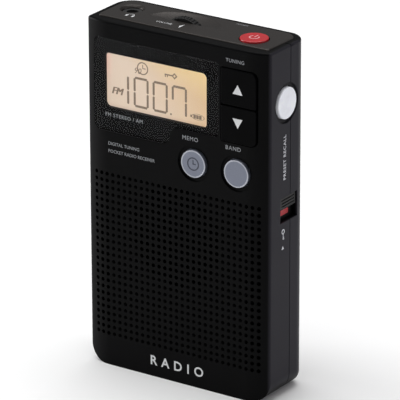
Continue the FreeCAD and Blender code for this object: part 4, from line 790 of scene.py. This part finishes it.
lay(word("PRESET RECALL", 1.35 * MM, 1.12, bold=0.02 * MM), "right_upward",
    on_right(preset.y - 0.9 * MM, 76.4 * MM), "label_preset", ink_side)
lock_ring = disc(0.8 * MM, spot=(0, 0.9 * MM), hole=0.5 * MM)
lock_bit = [stroke(-0.14 * MM, -1.6 * MM, 0.14 * MM, 0.2 * MM), stroke(0, -1.6 * MM, 0.6 * MM, -1.35 * MM),
            stroke(0, -1.1 * MM, 0.5 * MM, -0.85 * MM)]
lay(merged(lock_ring, *lock_bit), "right", on_right(lock.y - 3.0 * MM, 52.3 * MM), "lock_icon", ink_side)
lay(disc(0.75 * MM, corners=3), "right", on_right(lock.y - 3.2 * MM, 48 * MM), "lock_arrow", ink_side)
for name, text, z in (("sound", "MONO  STEREO", 56.5), ("bass", "BASS", 42)):
    knob = middle_of(name + "_switch")
    lay(word(text, 1.1 * MM, 1.1), "left_upward", Vector((-side_x - INK / 2, knob.y - 3.2 * MM, knob.z)),
        "label_" + name, ink_grey)
back_y = HALF_DEEP + INK / 2
lay(word("1.5 V x 2", 1.8 * MM, 1.1), "back", Vector((0, back_y, 17 * MM)), "label_cells", ink_grey, "door")
lay(disc(1.6 * MM, corners=3, turn=math.pi), "back", Vector((0, back_y, 12 * MM)), "door_arrow", ink_grey,
    "door")

# %% [markdown]
# ## Rims and the red mark
#
# Each grey button has a bright cut rim, which is what makes it look like metal. A ring of faces is turned
# round the button's axis: a flat, a chamfer and a wall. The lock's slider carries a red mark that shows
# below the knob while the keys are locked.

# %% Button rims
def rim(name, spot, radius, wide, body, material, rise=0.06 * MM):
    """A thin turned ring round the edge of a button's face."""
    made = disc(radius, corners=96, hole=radius - wide, thick=rise)
    apply_modifier(made, "BEVEL", width=rise * 0.8, segments=3, limit_method="ANGLE",
                   angle_limit=math.radians(40))
    select_only(made)
    bpy.ops.object.shade_smooth_by_angle(angle=math.radians(50))
    return lay(made, "front", spot, name, material, body)


FACE_RADIUS = 4.3 * MM
RIM_INSIDE, RIM_WIDE, RIM_LIFT = 0.04 * MM, 0.42 * MM, 0.05 * MM
for name, button in (("memory", memory), ("band", band)):
    rim(name + "_rim", Vector((button.x, memory_face + RIM_LIFT, button.z)),
        FACE_RADIUS - RIM_INSIDE, RIM_WIDE, name, rim_metal)

# %% The lock's red mark
SKIRT_FACE = 30.5 * MM
KNOB_BASE = 1.95 * MM
red = stroke(-2.6 * MM, -2.8 * MM, 2.6 * MM, -1.1 * MM, 0.3 * MM, thick=0.04 * MM)
knob = middle_of("lock_knob")
lay(red, "right", Vector((SKIRT_FACE, knob.y, knob.z - KNOB_BASE)), "lock_mark", ink_red, "lock")

# %% [markdown]
# ## The table, the light and the camera
#
# A product photograph of a black thing is a photograph of its reflections. The table is pale. One broad
# light hangs above and a little behind, a tall one stands at the left for the curved shoulder, and a weak
# one at the right lifts the side. The front face is left to reflect the dimmer part of the room. The view
# transform decides how bright light becomes colour: Standard keeps the display's colours and the black of
# the case as they are mixed, where a filmic one would wash them out.

# %% Table
bpy.ops.object.select_all(action="DESELECT")
bpy.ops.mesh.primitive_plane_add(size=6, location=(0, 0, 0))
table = bpy.context.active_object
table.name = "table"
paper = Paint("paper", roughness=0.9, specular_ior_level=0.1)
paper.set(base_color=paper.blend(paper.noise(400 * MM), (0.9, 0.9, 0.9, 1), (0.93, 0.93, 0.93, 1)),
          normal=paper.bump(paper.noise(3 * MM), 0.02 * MM))
table.data.materials.append(paper.material)

# %% Lights
centre = Vector((0, 0, 55 * MM))


def softbox(name, spot, wide, tall, power, colour=(1, 1, 1)):
    """A square area light that faces the radio."""
    bpy.ops.object.light_add(type="AREA", location=Vector(spot))
    light = bpy.context.active_object
    light.name = name
    light.data.shape = "RECTANGLE"
    light.data.size = wide
    light.data.size_y = tall
    light.data.energy = power
    light.data.color = colour
    light.rotation_mode = "QUATERNION"
    light.rotation_quaternion = (centre - Vector(spot)).to_track_quat("-Z", "Y")
    return light


softbox("above", (-0.15, 0.1, 1.3), 1.4, 1.1, 13)
softbox("left", (-0.8, -0.25, 0.22), 0.35, 0.5, 5)
softbox("right", (0.8, 0.35, 0.35), 0.35, 0.45, 0.7, (1, 0.93, 1.05))
world = bpy.data.worlds.new("room")
bpy.context.scene.world = world
world.use_nodes = True
room = world.node_tree
direction = room.nodes.new("ShaderNodeTexCoord")
height = room.nodes.new("ShaderNodeSeparateXYZ")
rise = room.nodes.new("ShaderNodeMapRange")
for number, value in ((1, 0.25), (2, 0.75), (3, 0.16), (4, 0.55)):
    rise.inputs[number].default_value = value
room.links.new(direction.outputs["Generated"], height.inputs[0])
room.links.new(height.outputs["Z"], rise.inputs[0])
room.links.new(rise.outputs[0], room.nodes["Background"].inputs["Strength"])
room.nodes["Background"].inputs["Color"].default_value = (1, 1, 1, 1)
bpy.context.scene.view_settings.view_transform = "Standard"

# %% Camera
AZIMUTH, ELEVATION, ROLL = math.radians(34.186), math.radians(21.179), math.radians(-0.268)
DISTANCE = 1.2116
LENS = 365.9
target = Vector((0, -9.3 * MM, 55.5 * MM))
back = Vector((math.sin(AZIMUTH) * math.cos(ELEVATION), -math.cos(AZIMUTH) * math.cos(ELEVATION),
               math.sin(ELEVATION)))
bpy.ops.object.camera_add(location=target + back * DISTANCE)
camera = bpy.context.active_object
camera.rotation_mode = "QUATERNION"
camera.rotation_quaternion = (-back).to_track_quat("-Z", "Y") @ Matrix.Rotation(ROLL, 3, "Z").to_quaternion()
camera.data.lens = LENS
camera.data.sensor_width = 36
camera.data.shift_x = 0.0522
camera.data.shift_y = 0.0238
camera.data.clip_start = 0.05
camera.data.clip_end = 20
bpy.context.scene.camera = camera
